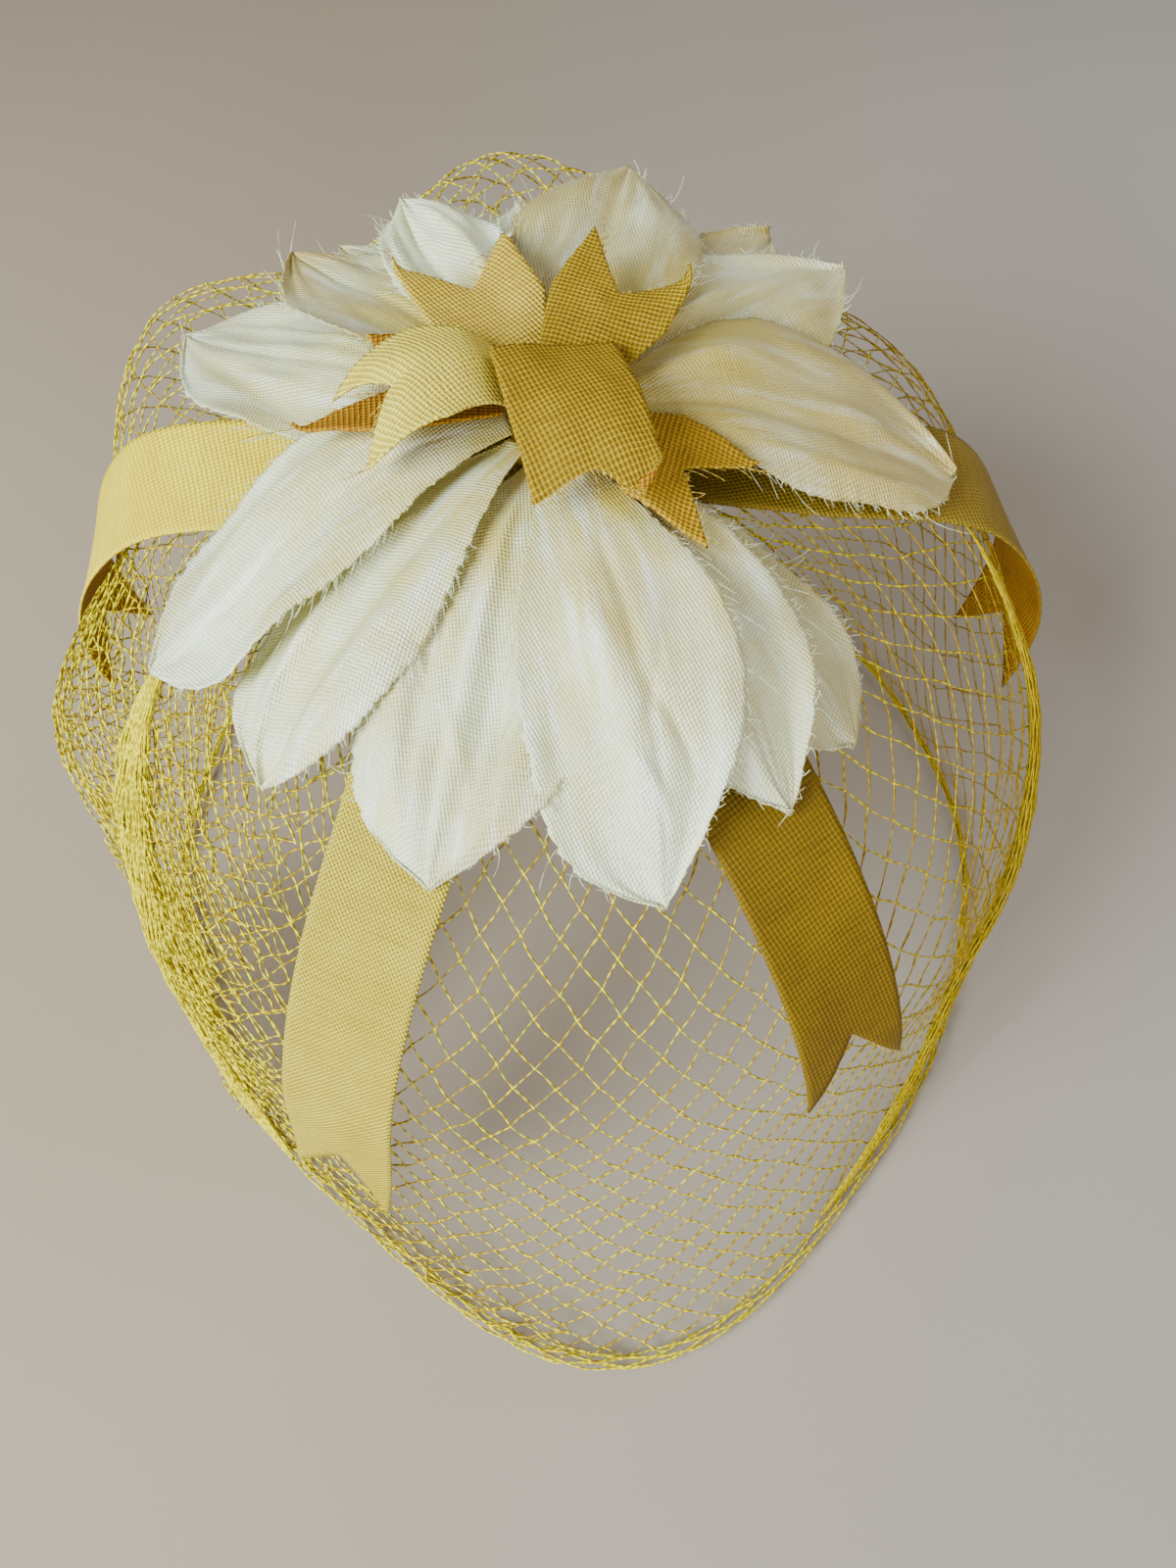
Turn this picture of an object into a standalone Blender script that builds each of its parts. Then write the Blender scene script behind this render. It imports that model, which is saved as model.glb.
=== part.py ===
# Whimsy fascinator: a stiff net veil gathered under a silk flower, with ribbon streamers.
# Tables and named sizes are in millimetres and degrees; MM turns them into metres.
# Everything is laid out round the flower's upright axis, and azimuth 270 is the front.

import math
from collections import namedtuple

import bmesh
import bpy
from mathutils import Vector
from mathutils.bvhtree import BVHTree

MM = 0.001

# Driving dimensions
CROWN_HEIGHT = 107.0  # middle of the net where it is gathered under the flower
CROWN_FLAT = 20.0  # radius of the level patch of gathered net
CROWN_RINGS = (12.0, 24.0, 36.0)  # where the crown is divided between the axis and the lattice
NET_WALL = 1.2
CLOTH_WALL = 1.0
GAP = 0.35  # seat gap between pieces that touch
HEM_RADIUS = 1.4  # rolled lower edge of the veil
NET_COLUMNS = 20  # diamonds round the veil
NET_ROWS = 6  # half steps of diamonds from crown to hem
NET_BAR = 4.2  # width of the bars between the gaps
LATTICE_START = 47.0  # distance down from the axis where the gaps begin
RIBBON_WIDTH = 22.5
BASE_RADIUS = 19.0
BASE_WALL = 2.0
CORE_RADIUS = 6.4
CORE_TOP = 123.0
CROSSING = 32.0  # the streamers lie flat on each other this far from the axis
LIFT_FADE = 0.3  # how slowly a piece comes down again beside what lifts it
LAY_MARGIN = 0.4  # spare room where a piece is laid over others
PETAL_BASE_WIDTH = 4.4
PETAL_WIDEST = 0.62  # share of the length at which a petal is widest
PETAL_SEAT = 0.4  # room between the top streamer and the lowest petals

# Veil sections: reach from the axis and height above the surface it stands on
Section = namedtuple(
    "Section",
    "azimuth shoulder_reach shoulder_height brow_reach brow_height "
    "bulge_reach bulge_height foot_reach foot_height hem_reach",
)
SECTIONS = [
    Section(12, 50, 101, 82, 92, 99, 62, 96, 18, 97),
    Section(38, 54, 104, 88, 98, 106, 72, 98, 20, 94),
    Section(66, 52, 109, 78, 109, 94, 80, 88, 22, 88),
    Section(98, 56, 114, 82, 123, 98, 98, 90, 26, 90),
    Section(124, 52, 108, 78, 109, 97, 82, 90, 22, 89),
    Section(148, 56, 110, 93, 109, 109, 83, 98, 22, 95),
    Section(174, 50, 101, 80, 92, 97, 62, 93, 18, 93),
    Section(191, 50, 98, 84, 84, 105, 57, 98, 17, 96),
    Section(209, 48, 95, 79, 75, 96, 42, 95, 14, 97),
    Section(229, 48, 94, 80, 72, 99, 43, 102, 15, 105),
    Section(250, 48, 93, 80, 70, 98, 46, 106, 18, 114),
    Section(276, 48, 93, 80, 70, 99, 49, 113, 20, 134),
    Section(304, 48, 94, 80, 72, 100, 46, 107, 18, 117),
    Section(330, 50, 96, 83, 76, 103, 46, 105, 16, 107),
    Section(354, 50, 98, 85, 83, 104, 53, 101, 16, 102),
]

# Silk petals: where each tip lies, and how the petal leaves the core and ends
Petal = namedtuple(
    "Petal",
    "name azimuth layer tip_reach tip_height start_slope end_slope width roll cup sway",
)
PETALS = [
    Petal("petal_01", 287, 2, 76, 80, -2, -52, 36, 4, -0.16, -2),
    Petal("petal_02", 252, 0, 74, 73, -4, -52, 37, -6, -0.14, 3),
    Petal("petal_03", 226, 1, 73, 83, -3, -44, 33, -4, -0.20, 4),
    Petal("petal_04", 199, 2, 79, 91, -2, -32, 33, 6, -0.12, 6),
    Petal("petal_05", 158, 1, 79, 97, -2, -22, 36, 8, -0.14, -4),
    Petal("petal_06", 132, 2, 72, 114, 0, 6, 30, 14, 0.10, 4),
    Petal("petal_07", 126, 0, 75, 113, -2, -2, 28, -6, -0.10, 0),
    Petal("petal_08", 114, 3, 64, 125, 4, 26, 24, -16, 0.16, 4),
    Petal("petal_09", 97, 1, 64, 122, 0, 14, 28, 8, 0.06, 0),
    Petal("petal_10", 78, 2, 74, 119, 2, 6, 38, -4, -0.16, 0),
    Petal("petal_11", 48, 1, 79, 113, 0, -4, 32, 12, -0.10, -7),
    Petal("petal_12", 54, 0, 80, 114, -2, -4, 32, -4, -0.10, 2),
    Petal("petal_13", 21, 2, 78, 95, -2, -34, 36, 6, -0.18, -16),
    Petal("petal_14", 305, 1, 72, 80, -3, -48, 30, -6, -0.16, 0),
    Petal("petal_15", 317, 0, 70, 79, -4, -46, 30, -4, -0.12, 4),
]

# Bow tails: short ribbon ends with a swallowtail cut, round and over the core
Tail = namedtuple(
    "Tail",
    "name start_x start_y heading length start_height tip_height start_slope end_slope "
    "base_width roll cup skew notch",
)
TAILS = [
    Tail("bow_tail_left_low", -7, 0.6, 173, 35, 118, 116, 4, -6, 7, -6, 0.12, 9, 11),
    Tail("bow_tail_back_left", -3.4, 6.4, 118, 33, 118, 122, 8, 16, 8, 0, 0.12, 0, 11),
    Tail("bow_tail_back", 4.2, 6.6, 63, 31, 119, 131, 10, 26, 13, -4, 0.06, 4, 11),
    Tail("bow_tail_right", 6.8, -2.8, 333, 28, 118, 112, -4, -18, 8, 6, -0.10, 0, 10),
    Tail("bow_tail_left", -7.2, 3, 199, 28, 121, 114, 46, -56, 13, 4, -0.16, 0, 9),
    Tail("bow_tail_front", 1, 7, 286, 35.5, 124.5, 109, 8, -44, 22, -8, -0.10, 7, 5.5),
]

# Streamers: three long ribbons that cross under the flower, each with two free ends
Streamer = namedtuple("Streamer", "name layer front back")
End = namedtuple("End", "azimuth length lift kick roll")
STREAMERS = [
    Streamer("streamer_side", 0, End(173, 136, 2.6, 2, 5), End(9, 142, 2.4, 2, -4)),
    Streamer("streamer_right", 1, End(303, 132, 2, 2, 0), End(122, 62, 2.4, 2.6, 0)),
    Streamer("streamer_left", 2, End(248, 155, 2, 3, 0), End(66, 64, 2, 2, 0)),
]
STREAMER_NOTCH = 14.0
STREAMER_PITCH = 1.85  # from one crossing ribbon to the next above it

# Tuck: the bunched roll of net that runs down the left wall of the veil
TUCK_PATH = [(200, 84), (204, 98), (208.5, 115), (215, 132), (223, 144), (231, 151)]
TUCK_WIDTH = 9.0
TUCK_DEPTH = 4.0

# Hair comb under the base
COMB_WIDTH = 36.0
COMB_SPINE = 5.0
COMB_THICKNESS = 2.4
COMB_TOOTH_LENGTH = 24.0
COMB_TOOTH_WIDTH = 1.8
COMB_TEETH = 9
COMB_DROP = 6.0
COMB_BACK = 12.0  # from the axis to the back of the spine


def material(name, colour, roughness, metallic=0.0):
    made = bpy.data.materials.new(name)
    made.use_nodes = True
    shader = made.node_tree.nodes["Principled BSDF"]
    shader.inputs["Base Color"].default_value = (*colour, 1.0)
    shader.inputs["Roughness"].default_value = roughness
    shader.inputs["Metallic"].default_value = metallic
    made.diffuse_color = (*colour, 1.0)
    return made


def lerp(a, b, t):
    return a + (b - a) * t


def direction(azimuth):
    angle = math.radians(azimuth)
    return Vector((math.cos(angle), math.sin(angle), 0.0))


def hermite(a, b, slope_a, slope_b, t):
    """A value between a and b with the given slopes at its ends."""
    t2, t3 = t * t, t * t * t
    return (
        a * (2 * t3 - 3 * t2 + 1)
        + b * (3 * t2 - 2 * t3)
        + slope_a * (t3 - 2 * t2 + t)
        + slope_b * (t3 - t2)
    )


def section_at(azimuth):
    """The veil's section at any azimuth, smooth through the rows of the table."""
    azimuth %= 360.0
    count = len(SECTIONS)
    after = next((i for i, row in enumerate(SECTIONS) if row.azimuth > azimuth), 0)
    rows = [SECTIONS[(after + k) % count] for k in (-2, -1, 0, 1)]
    spans = [(rows[k + 1].azimuth - rows[k].azimuth) % 360.0 for k in range(3)]
    t = ((azimuth - rows[1].azimuth) % 360.0) / spans[1]
    values = [azimuth]
    for before, low, high, beyond in zip(*[row[1:] for row in rows]):
        slope_low = (high - before) / (spans[0] + spans[1]) * spans[1]
        slope_high = (beyond - low) / (spans[1] + spans[2]) * spans[1]
        values.append(hermite(low, high, slope_low, slope_high, t))
    return Section(*values)


def profile_at(azimuth, steps=12):
    """Points (distance, reach, height) down the veil from the axis to the hem's centre."""
    row = section_at(azimuth)
    knots = [
        (2 * CROWN_FLAT - row.shoulder_reach, row.shoulder_height),
        (CROWN_FLAT, CROWN_HEIGHT),
        (row.shoulder_reach, row.shoulder_height),
        (row.brow_reach, row.brow_height),
        (row.bulge_reach, row.bulge_height),
        (row.foot_reach, row.foot_height),
        (row.hem_reach, HEM_RADIUS),
    ]
    knots.append((2 * knots[-1][0] - knots[-2][0], HEM_RADIUS))
    points = [(0.0, 0.0, CROWN_HEIGHT), (CROWN_FLAT, CROWN_FLAT, CROWN_HEIGHT)]
    for k in range(1, len(knots) - 2):
        before, low, high, beyond = knots[k - 1 : k + 3]
        chords = [
            math.dist(p, q) for p, q in ((before, low), (low, high), (high, beyond))
        ]
        for step in range(1, steps + 1):
            t = step / steps
            place = []
            for axis in (0, 1):
                rise = (high[axis] - before[axis]) / (chords[0] + chords[1])
                fall = (beyond[axis] - low[axis]) / (chords[1] + chords[2])
                place.append(
                    hermite(
                        low[axis], high[axis], rise * chords[1], fall * chords[1], t
                    )
                )
            gone = points[-1][0] + math.dist(place, points[-1][1:])
            points.append((gone, *place))
    return points


PROFILES = {}


def veil_length(azimuth):
    return profile(azimuth)[-1][0]


def profile(azimuth):
    key = round(azimuth % 360.0, 3)
    if key not in PROFILES:
        PROFILES[key] = profile_at(key)
    return PROFILES[key]


def veil_point(azimuth, distance):
    """A point on the middle of the net, so far down from the axis."""
    points = profile(azimuth)
    for low, high in zip(points, points[1:]):
        if distance <= high[0] or high is points[-1]:
            t = (distance - low[0]) / (high[0] - low[0])
            reach = lerp(low[1], high[1], t)
            return direction(azimuth) * reach + Vector((0, 0, lerp(low[2], high[2], t)))


def veil_normal(azimuth, distance):
    """The outward normal of the net there."""
    if distance < CROWN_FLAT * 0.8:
        return Vector((0, 0, 1))
    down = veil_point(azimuth, distance + 1) - veil_point(azimuth, distance - 1)
    across = veil_point(azimuth + 1, distance) - veil_point(azimuth - 1, distance)
    return down.cross(across).normalized()


def new_object(name, mesh, finish):
    made = bpy.data.objects.new(name, mesh)
    bpy.context.scene.collection.objects.link(made)
    mesh.materials.append(finish)
    mesh.shade_smooth()
    return made


def solidify(made, wall):
    modifier = made.modifiers.new("wall", "SOLIDIFY")
    modifier.thickness = wall * MM
    modifier.offset = 0.0
    modifier.use_even_offset = True


def from_grid(name, rows, finish, wall):
    """A cloth piece from rows of points, given its wall by Solidify."""
    work = bmesh.new()
    grid = [[work.verts.new(point * MM) for point in row] for row in rows]
    for low, high in zip(grid, grid[1:]):
        for k in range(len(low) - 1):
            work.faces.new((low[k], low[k + 1], high[k + 1], high[k]))
    mesh = bpy.data.meshes.new(name)
    work.to_mesh(mesh)
    work.free()
    made = new_object(name, mesh, finish)
    solidify(made, wall)
    return made


LAID = {"points": [], "faces": []}


def remember(rows):
    """Adds a strip to what later pieces are laid over."""
    first, width = len(LAID["points"]), len(rows[0])
    LAID["points"] += [point for row in rows for point in row]
    for j in range(len(rows) - 1):
        for k in range(width - 1):
            a = first + j * width + k
            LAID["faces"].append((a, a + 1, a + 1 + width, a + width))


def lift_at(point, below):
    """How far a point has to rise to be clear of what is under it."""
    place, normal, _, _ = below.ray_cast(
        Vector((point.x, point.y, 400.0)), Vector((0, 0, -1))
    )
    if place is None:
        return 0.0
    clear = (CLOTH_WALL + GAP + LAY_MARGIN) / max(0.35, abs(normal.z))
    return max(0.0, place.z + clear - point.z)


def lay(name, rows, finish, samples=4):
    """A strip of cloth raised just clear of the pieces laid before it."""
    below = BVHTree.FromPolygons(LAID["points"], LAID["faces"])
    lifts = {}
    for j in range(len(rows) - 1):
        for k in range(len(rows[0]) - 1):
            needed = 0.0
            for u in (i / samples for i in range(samples + 1)):
                low = rows[j][k].lerp(rows[j][k + 1], u)
                high = rows[j + 1][k].lerp(rows[j + 1][k + 1], u)
                for v in (i / samples for i in range(samples + 1)):
                    needed = max(needed, lift_at(low.lerp(high, v), below))
            for corner in ((j, k), (j, k + 1), (j + 1, k), (j + 1, k + 1)):
                lifts[corner] = max(needed, lifts.get(corner, 0.0))
    raised = [
        [
            point
            + Vector(
                (
                    0,
                    0,
                    max(
                        lift - LIFT_FADE * (rows[a][b] - point).length
                        for (a, b), lift in lifts.items()
                    ),
                )
            )
            for point in row
        ]
        for row in rows
    ]
    remember(raised)
    return from_grid(name, raised, finish, CLOTH_WALL)


def tube(name, centres, frames, half_width, half_depth, sides, finish, closed):
    """A roll with an oval section along centres, shrunk to its ends if it is open."""
    work = bmesh.new()
    loops = []
    for k, (centre, (across, out)) in enumerate(zip(centres, frames)):
        size = 1.0 if closed else math.sin(math.pi * (k + 0.6) / (len(centres) + 0.2))
        loops.append(
            [
                work.verts.new(
                    (
                        centre
                        + across * (half_width * size * math.cos(turn))
                        + out * (half_depth * size * math.sin(turn))
                    )
                    * MM
                )
                for turn in (2 * math.pi * i / sides - math.pi / 2 for i in range(sides))
            ]
        )
    pairs = zip(loops, loops[1:] + loops[:1]) if closed else zip(loops, loops[1:])
    for low, high in pairs:
        for i in range(sides):
            j = (i + 1) % sides
            work.faces.new((low[i], low[j], high[j], high[i]))
    if not closed:
        work.faces.new(loops[0])
        work.faces.new(loops[-1][::-1])
    bmesh.ops.recalc_face_normals(work, faces=work.faces)
    mesh = bpy.data.meshes.new(name)
    work.to_mesh(mesh)
    work.free()
    return new_object(name, mesh, finish)


def turned(name, profile_points, sides, finish, centre=(0.0, 0.0)):
    """A solid of revolution from (radius, height) points, bottom to top."""
    work = bmesh.new()
    rings = []
    for radius, height in profile_points:
        rings.append(
            [
                work.verts.new(
                    (direction(360.0 * i / sides) * radius + Vector((*centre, height)))
                    * MM
                )
                for i in range(sides)
            ]
        )
    for low, high in zip(rings, rings[1:]):
        for i in range(sides):
            j = (i + 1) % sides
            work.faces.new((low[i], low[j], high[j], high[i]))
    work.faces.new(rings[0][::-1])
    work.faces.new(rings[-1])
    mesh = bpy.data.meshes.new(name)
    work.to_mesh(mesh)
    work.free()
    made = new_object(name, mesh, finish)
    mesh.set_sharp_from_angle(angle=math.radians(40))
    return made


def veil_net(finish):
    """The gathered crown and the pierced wall: diamonds round and down the veil."""
    work = bmesh.new()
    steps = 2 * NET_COLUMNS
    turn = 360.0 / steps

    def vertex(azimuth, share):
        start, end = LATTICE_START, veil_length(azimuth) - HEM_RADIUS - GAP * 2
        return work.verts.new(veil_point(azimuth, lerp(start, end, share)) * MM)

    apex = work.verts.new(veil_point(0, 0) * MM)
    rings = [
        [work.verts.new(veil_point(i * turn, ring) * MM) for i in range(steps)]
        for ring in CROWN_RINGS
    ]
    rings.append([vertex(i * turn, 0.0) for i in range(steps)])
    for i in range(steps):
        work.faces.new((apex, rings[0][i], rings[0][(i + 1) % steps]))
        for low, high in zip(rings, rings[1:]):
            work.faces.new(
                (low[i], high[i], high[(i + 1) % steps], low[(i + 1) % steps])
            )

    corners = {(i, 0): rings[-1][i] for i in range(steps)}
    sides = {}
    for row in range(1, NET_ROWS + 1):
        for i in range(row % 2, steps, 2):
            corners[i, row] = vertex(i * turn, row / NET_ROWS)
    for i in range(steps):
        if (i, NET_ROWS) not in corners:
            corners[i, NET_ROWS] = vertex(i * turn, 1.0)

    def side(a, b):
        """The vertex halfway along the bar between two corners."""
        key = frozenset((a, b))
        if key not in sides:
            middle = (a[0] + b[0]) / 2
            if abs(a[0] - b[0]) > 2:
                middle = steps - 0.5
            sides[key] = vertex(middle * turn, (a[1] + b[1]) / 2 / NET_ROWS)
        return sides[key]

    cells = []
    for row in range(0, NET_ROWS + 1):
        for i in range((row + 1) % 2, steps, 2):
            left, right = ((i - 1) % steps, row), ((i + 1) % steps, row)
            top, bottom = (i, row - 1), (i, row + 1)
            if row == 0:
                work.faces.new(
                    (
                        corners[left],
                        side(left, bottom),
                        corners[bottom],
                        side(bottom, right),
                        corners[right],
                        corners[i, 0],
                    )
                )
                continue
            around = [corners[top], side(top, left), corners[left]]
            if row < NET_ROWS:
                around += [side(left, bottom), corners[bottom], side(bottom, right)]
            else:
                around += [corners[i, NET_ROWS]]
            around += [corners[right], side(right, top)]
            cells.append(work.faces.new(around))
    bmesh.ops.recalc_face_normals(work, faces=work.faces)
    work.verts.index_update()
    LAID["points"] += [vert.co / MM for vert in work.verts]
    LAID["faces"] += [[vert.index for vert in face.verts] for face in work.faces]
    bmesh.ops.inset_individual(
        work, faces=cells, thickness=NET_BAR / 2 * MM, use_even_offset=True
    )
    halfway = set(sides.values())
    spokes = {
        edge
        for cell in cells
        for vert in cell.verts
        for edge in vert.link_edges
        if edge.other_vert(vert) in halfway
    }
    inner = {v for edge in spokes for v in edge.verts} - halfway
    bmesh.ops.delete(work, geom=cells, context="FACES")
    bmesh.ops.dissolve_edges(work, edges=list(spokes), use_verts=False)
    bmesh.ops.dissolve_verts(work, verts=list(inner))
    mesh = bpy.data.meshes.new("veil_net")
    work.to_mesh(mesh)
    work.free()
    made = new_object("veil_net", mesh, finish)
    solidify(made, NET_WALL)
    return made


def veil_hem(finish, segments=48):
    """The rolled lower edge, level on the surface all the way round."""
    azimuths = [360.0 * k / segments for k in range(segments)]
    centres = [veil_point(a, veil_length(a)) for a in azimuths]
    frames = [(direction(a), Vector((0, 0, 1))) for a in azimuths]
    return tube(
        "veil_hem", centres, frames, HEM_RADIUS, HEM_RADIUS, 5, finish, closed=True
    )


def veil_tuck(finish):
    """The bunched roll of net on the outside of the left wall."""
    lift = NET_WALL / 2 + GAP * 2 + TUCK_DEPTH / 2
    places = []
    for (a0, d0), (a1, d1) in zip(TUCK_PATH, TUCK_PATH[1:]):
        places += [(lerp(a0, a1, t), lerp(d0, d1, t)) for t in (0.0, 0.5)]
    places.append(TUCK_PATH[-1])
    centres = [veil_point(a, d) + veil_normal(a, d) * lift for a, d in places]
    frames = []
    for k, (a, d) in enumerate(places):
        along = centres[min(k + 1, len(places) - 1)] - centres[max(k - 1, 0)]
        out = veil_normal(a, d)
        frames.append((along.cross(out).normalized(), out))
    return tube(
        "veil_tuck",
        centres,
        frames,
        TUCK_WIDTH / 2,
        TUCK_DEPTH / 2,
        8,
        finish,
        closed=False,
    )


def streamer(row, finish, columns=4, steps=12):
    """A ribbon over the crown; its two ends lift off the net and are cut to a swallowtail."""
    seat = NET_WALL / 2 + GAP * 2 + CLOTH_WALL / 2
    halves = []
    for end, sign in ((row.front, -1), (row.back, 1)):
        half = []
        for step in range(1, steps + 1):
            line = []
            for k in range(columns + 1):
                across = 2 * k / columns - 1
                stop = end.length - STREAMER_NOTCH * (1 - abs(across))
                distance = stop * step / steps
                share = max(0.0, (distance - CROSSING) / (end.length - CROSSING))
                clear = seat + row.layer * STREAMER_PITCH * max(0.0, 1 - share * 3)
                clear += end.lift * math.sin(math.pi * share) + end.kick * share**2
                out = veil_normal(end.azimuth, distance)
                ahead = veil_point(end.azimuth, distance + 1)
                ahead -= veil_point(end.azimuth, distance - 1)
                beside = out.cross(ahead.normalized())
                tilt = math.radians(end.roll) * min(1.0, share * 1.5)
                beside = beside * math.cos(tilt) + out * math.sin(tilt)
                place = veil_point(end.azimuth, distance) + out * clear
                line.append(place + beside * (sign * across * RIBBON_WIDTH / 2))
            half.append(line)
        halves.append(half)
    middle = direction(row.back.azimuth) - direction(row.front.azimuth)
    middle = Vector((-middle.y, middle.x, 0)).normalized()
    centre = []
    for k in range(columns + 1):
        across = 2 * k / columns - 1
        place = middle * (across * RIBBON_WIDTH / 2)
        height = CROWN_HEIGHT + seat + row.layer * STREAMER_PITCH
        centre.append(place + Vector((0, 0, height)))
    rows = halves[0][::-1] + [centre] + halves[1]
    remember(rows)
    return from_grid(row.name, rows, finish, CLOTH_WALL)


def strip_point(base, heading, row, length, along, across, half_width):
    """A point on a petal or tail: its midline is a curve in height, with cup and roll."""
    height = hermite(
        base.z,
        row.tip_height,
        math.tan(math.radians(row.start_slope)) * length,
        math.tan(math.radians(row.end_slope)) * length,
        along,
    )
    ahead = direction(heading)
    beside = Vector((-ahead.y, ahead.x, 0))
    tilt = math.radians(row.roll) * min(1.0, along * 1.6)
    drop = row.cup * half_width * across * across * min(1.0, along * 2.0)
    aside = across * half_width
    place = Vector((base.x, base.y, 0)) + ahead * (along * length)
    place += beside * (aside * math.cos(tilt))
    return place + Vector((0, 0, height + aside * math.sin(tilt) + drop))


def petal_half_width(row, along):
    widest = PETAL_WIDEST
    base = PETAL_BASE_WIDTH / row.width
    if along < widest:
        share = base + (1 - base) * math.sin(math.pi / 2 * along / widest) ** 1.25
    else:
        share = 1 - ((along - widest) / (1 - widest)) ** 2.3
    return max(share, 0.05) * row.width / 2


def petal(row, finish, steps=8, columns=4):
    start = CORE_RADIUS + GAP
    level = CROWN_HEIGHT + NET_WALL / 2 + len(STREAMERS) * STREAMER_PITCH
    level += GAP * 2 + CLOTH_WALL / 2 + PETAL_SEAT + row.layer * (CLOTH_WALL + GAP)
    base = direction(row.azimuth) * start
    base.z = level
    rows = []
    for step in range(steps + 1):
        along = step / steps
        half = petal_half_width(row, along)
        heading = row.azimuth + row.sway * along
        rows.append(
            [
                strip_point(
                    base,
                    heading,
                    row,
                    row.tip_reach - start,
                    along,
                    2 * k / columns - 1,
                    half,
                )
                for k in range(columns + 1)
            ]
        )
    return lay(row.name, rows, finish)


def bow_tail(row, finish, steps=6, columns=4):
    base = Vector((row.start_x, row.start_y, row.start_height))
    rows = []
    for step in range(steps + 1):
        line = []
        for k in range(columns + 1):
            across = 2 * k / columns - 1
            cut = row.notch * (1 - abs(across)) + row.skew * (1 - across) / 2
            end = 1 - cut / row.length
            along = end * step / steps
            width = lerp(row.base_width, RIBBON_WIDTH, min(1.0, along * 2.2))
            line.append(
                strip_point(
                    base, row.heading, row, row.length, along, across, width / 2
                )
            )
        rows.append(line)
    return lay(row.name, rows, finish)


def crown_base(finish):
    top = CROWN_HEIGHT - NET_WALL / 2 - GAP * 2
    bottom = top - BASE_WALL
    return turned(
        "crown_base",
        [(BASE_RADIUS, bottom), (BASE_RADIUS, top - 0.6), (BASE_RADIUS - 1.5, top)],
        36,
        finish,
    )


def flower_core(finish):
    bottom = CROWN_HEIGHT + NET_WALL / 2 + GAP * 2 + len(STREAMERS) * STREAMER_PITCH
    return turned(
        "flower_core",
        [
            (CORE_RADIUS, bottom),
            (CORE_RADIUS, CORE_TOP - 4.5),
            (CORE_RADIUS * 0.8, CORE_TOP - 1.4),
            (CORE_RADIUS * 0.35, CORE_TOP),
        ],
        12,
        finish,
    )


def hair_comb(finish):
    """A spine under the base and a row of teeth that curve down towards the front."""
    top = CROWN_HEIGHT - NET_WALL / 2 - GAP * 2 - BASE_WALL - GAP
    work = bmesh.new()
    columns = [-COMB_WIDTH / 2]
    pitch = (COMB_WIDTH - COMB_TOOTH_WIDTH) / (COMB_TEETH - 1)
    for tooth in range(COMB_TEETH):
        left = -COMB_WIDTH / 2 + tooth * pitch
        columns += [left, left + COMB_TOOTH_WIDTH]
    columns = sorted(set(round(c, 4) for c in columns))
    stations = [0.0, COMB_SPINE] + [
        COMB_SPINE + COMB_TOOTH_LENGTH * k / 4 for k in (1, 2, 3, 4)
    ]

    def place(across, station):
        bend = max(0.0, station - COMB_SPINE) / COMB_TOOTH_LENGTH
        height = top - COMB_THICKNESS / 2 - COMB_DROP * bend**2
        return work.verts.new(Vector((across, COMB_BACK - station, height)) * MM)

    grid = [[place(c, s) for c in columns] for s in stations]
    for j in range(len(stations) - 1):
        for i in range(len(columns) - 1):
            is_tooth = i % 2 == 0
            if j == 0 or is_tooth:
                work.faces.new(
                    (grid[j][i], grid[j + 1][i], grid[j + 1][i + 1], grid[j][i + 1])
                )
    loose = [v for v in work.verts if not v.link_faces]
    bmesh.ops.delete(work, geom=loose, context="VERTS")
    bmesh.ops.recalc_face_normals(work, faces=work.faces)
    mesh = bpy.data.meshes.new("hair_comb")
    work.to_mesh(mesh)
    work.free()
    made = new_object("hair_comb", mesh, finish)
    solidify(made, COMB_THICKNESS)
    return made


def centre_on_base(pieces):
    """Moves every piece so that the middle of the box's underside is the origin."""
    bpy.context.view_layer.update()
    graph = bpy.context.evaluated_depsgraph_get()
    corners = [
        piece.matrix_world @ Vector(corner)
        for piece in pieces
        for corner in piece.evaluated_get(graph).bound_box
    ]
    low = [min(c[axis] for c in corners) for axis in range(3)]
    high = [max(c[axis] for c in corners) for axis in range(3)]
    shift = Vector((-(low[0] + high[0]) / 2, -(low[1] + high[1]) / 2, -low[2]))
    for piece in pieces:
        piece.location = shift


def build():
    for old in list(bpy.data.objects):
        bpy.data.objects.remove(old)
    net = material("yellow_net", (0.80, 0.68, 0.16), 0.55)
    hem = material("yellow_hem", (0.83, 0.70, 0.12), 0.6)
    silk = material("ivory_silk", (0.86, 0.82, 0.66), 0.45)
    gold = material("gold_ribbon", (0.66, 0.48, 0.16), 0.6)
    streamer_gold = material("straw_ribbon", (0.70, 0.56, 0.22), 0.7)
    felt = material("cream_base", (0.80, 0.75, 0.60), 0.9)
    plastic = material("clear_comb", (0.85, 0.82, 0.74), 0.3)
    pieces = [
        veil_net(net),
        veil_hem(hem),
        veil_tuck(hem),
        crown_base(felt),
        hair_comb(plastic),
        flower_core(gold),
    ]
    pieces += [streamer(row, streamer_gold) for row in STREAMERS]
    pieces += [petal(row, silk) for row in sorted(PETALS, key=lambda row: row.layer)]
    pieces += [bow_tail(row, gold) for row in TAILS]
    centre_on_base(pieces)


build()
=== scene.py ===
# Petal fascinator: silk petals and ribbon tails over a gathered net veil, lit for its photograph
import math
import random

import bpy
import numpy as np
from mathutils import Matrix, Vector, noise
from mathutils.bvhtree import BVHTree


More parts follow.
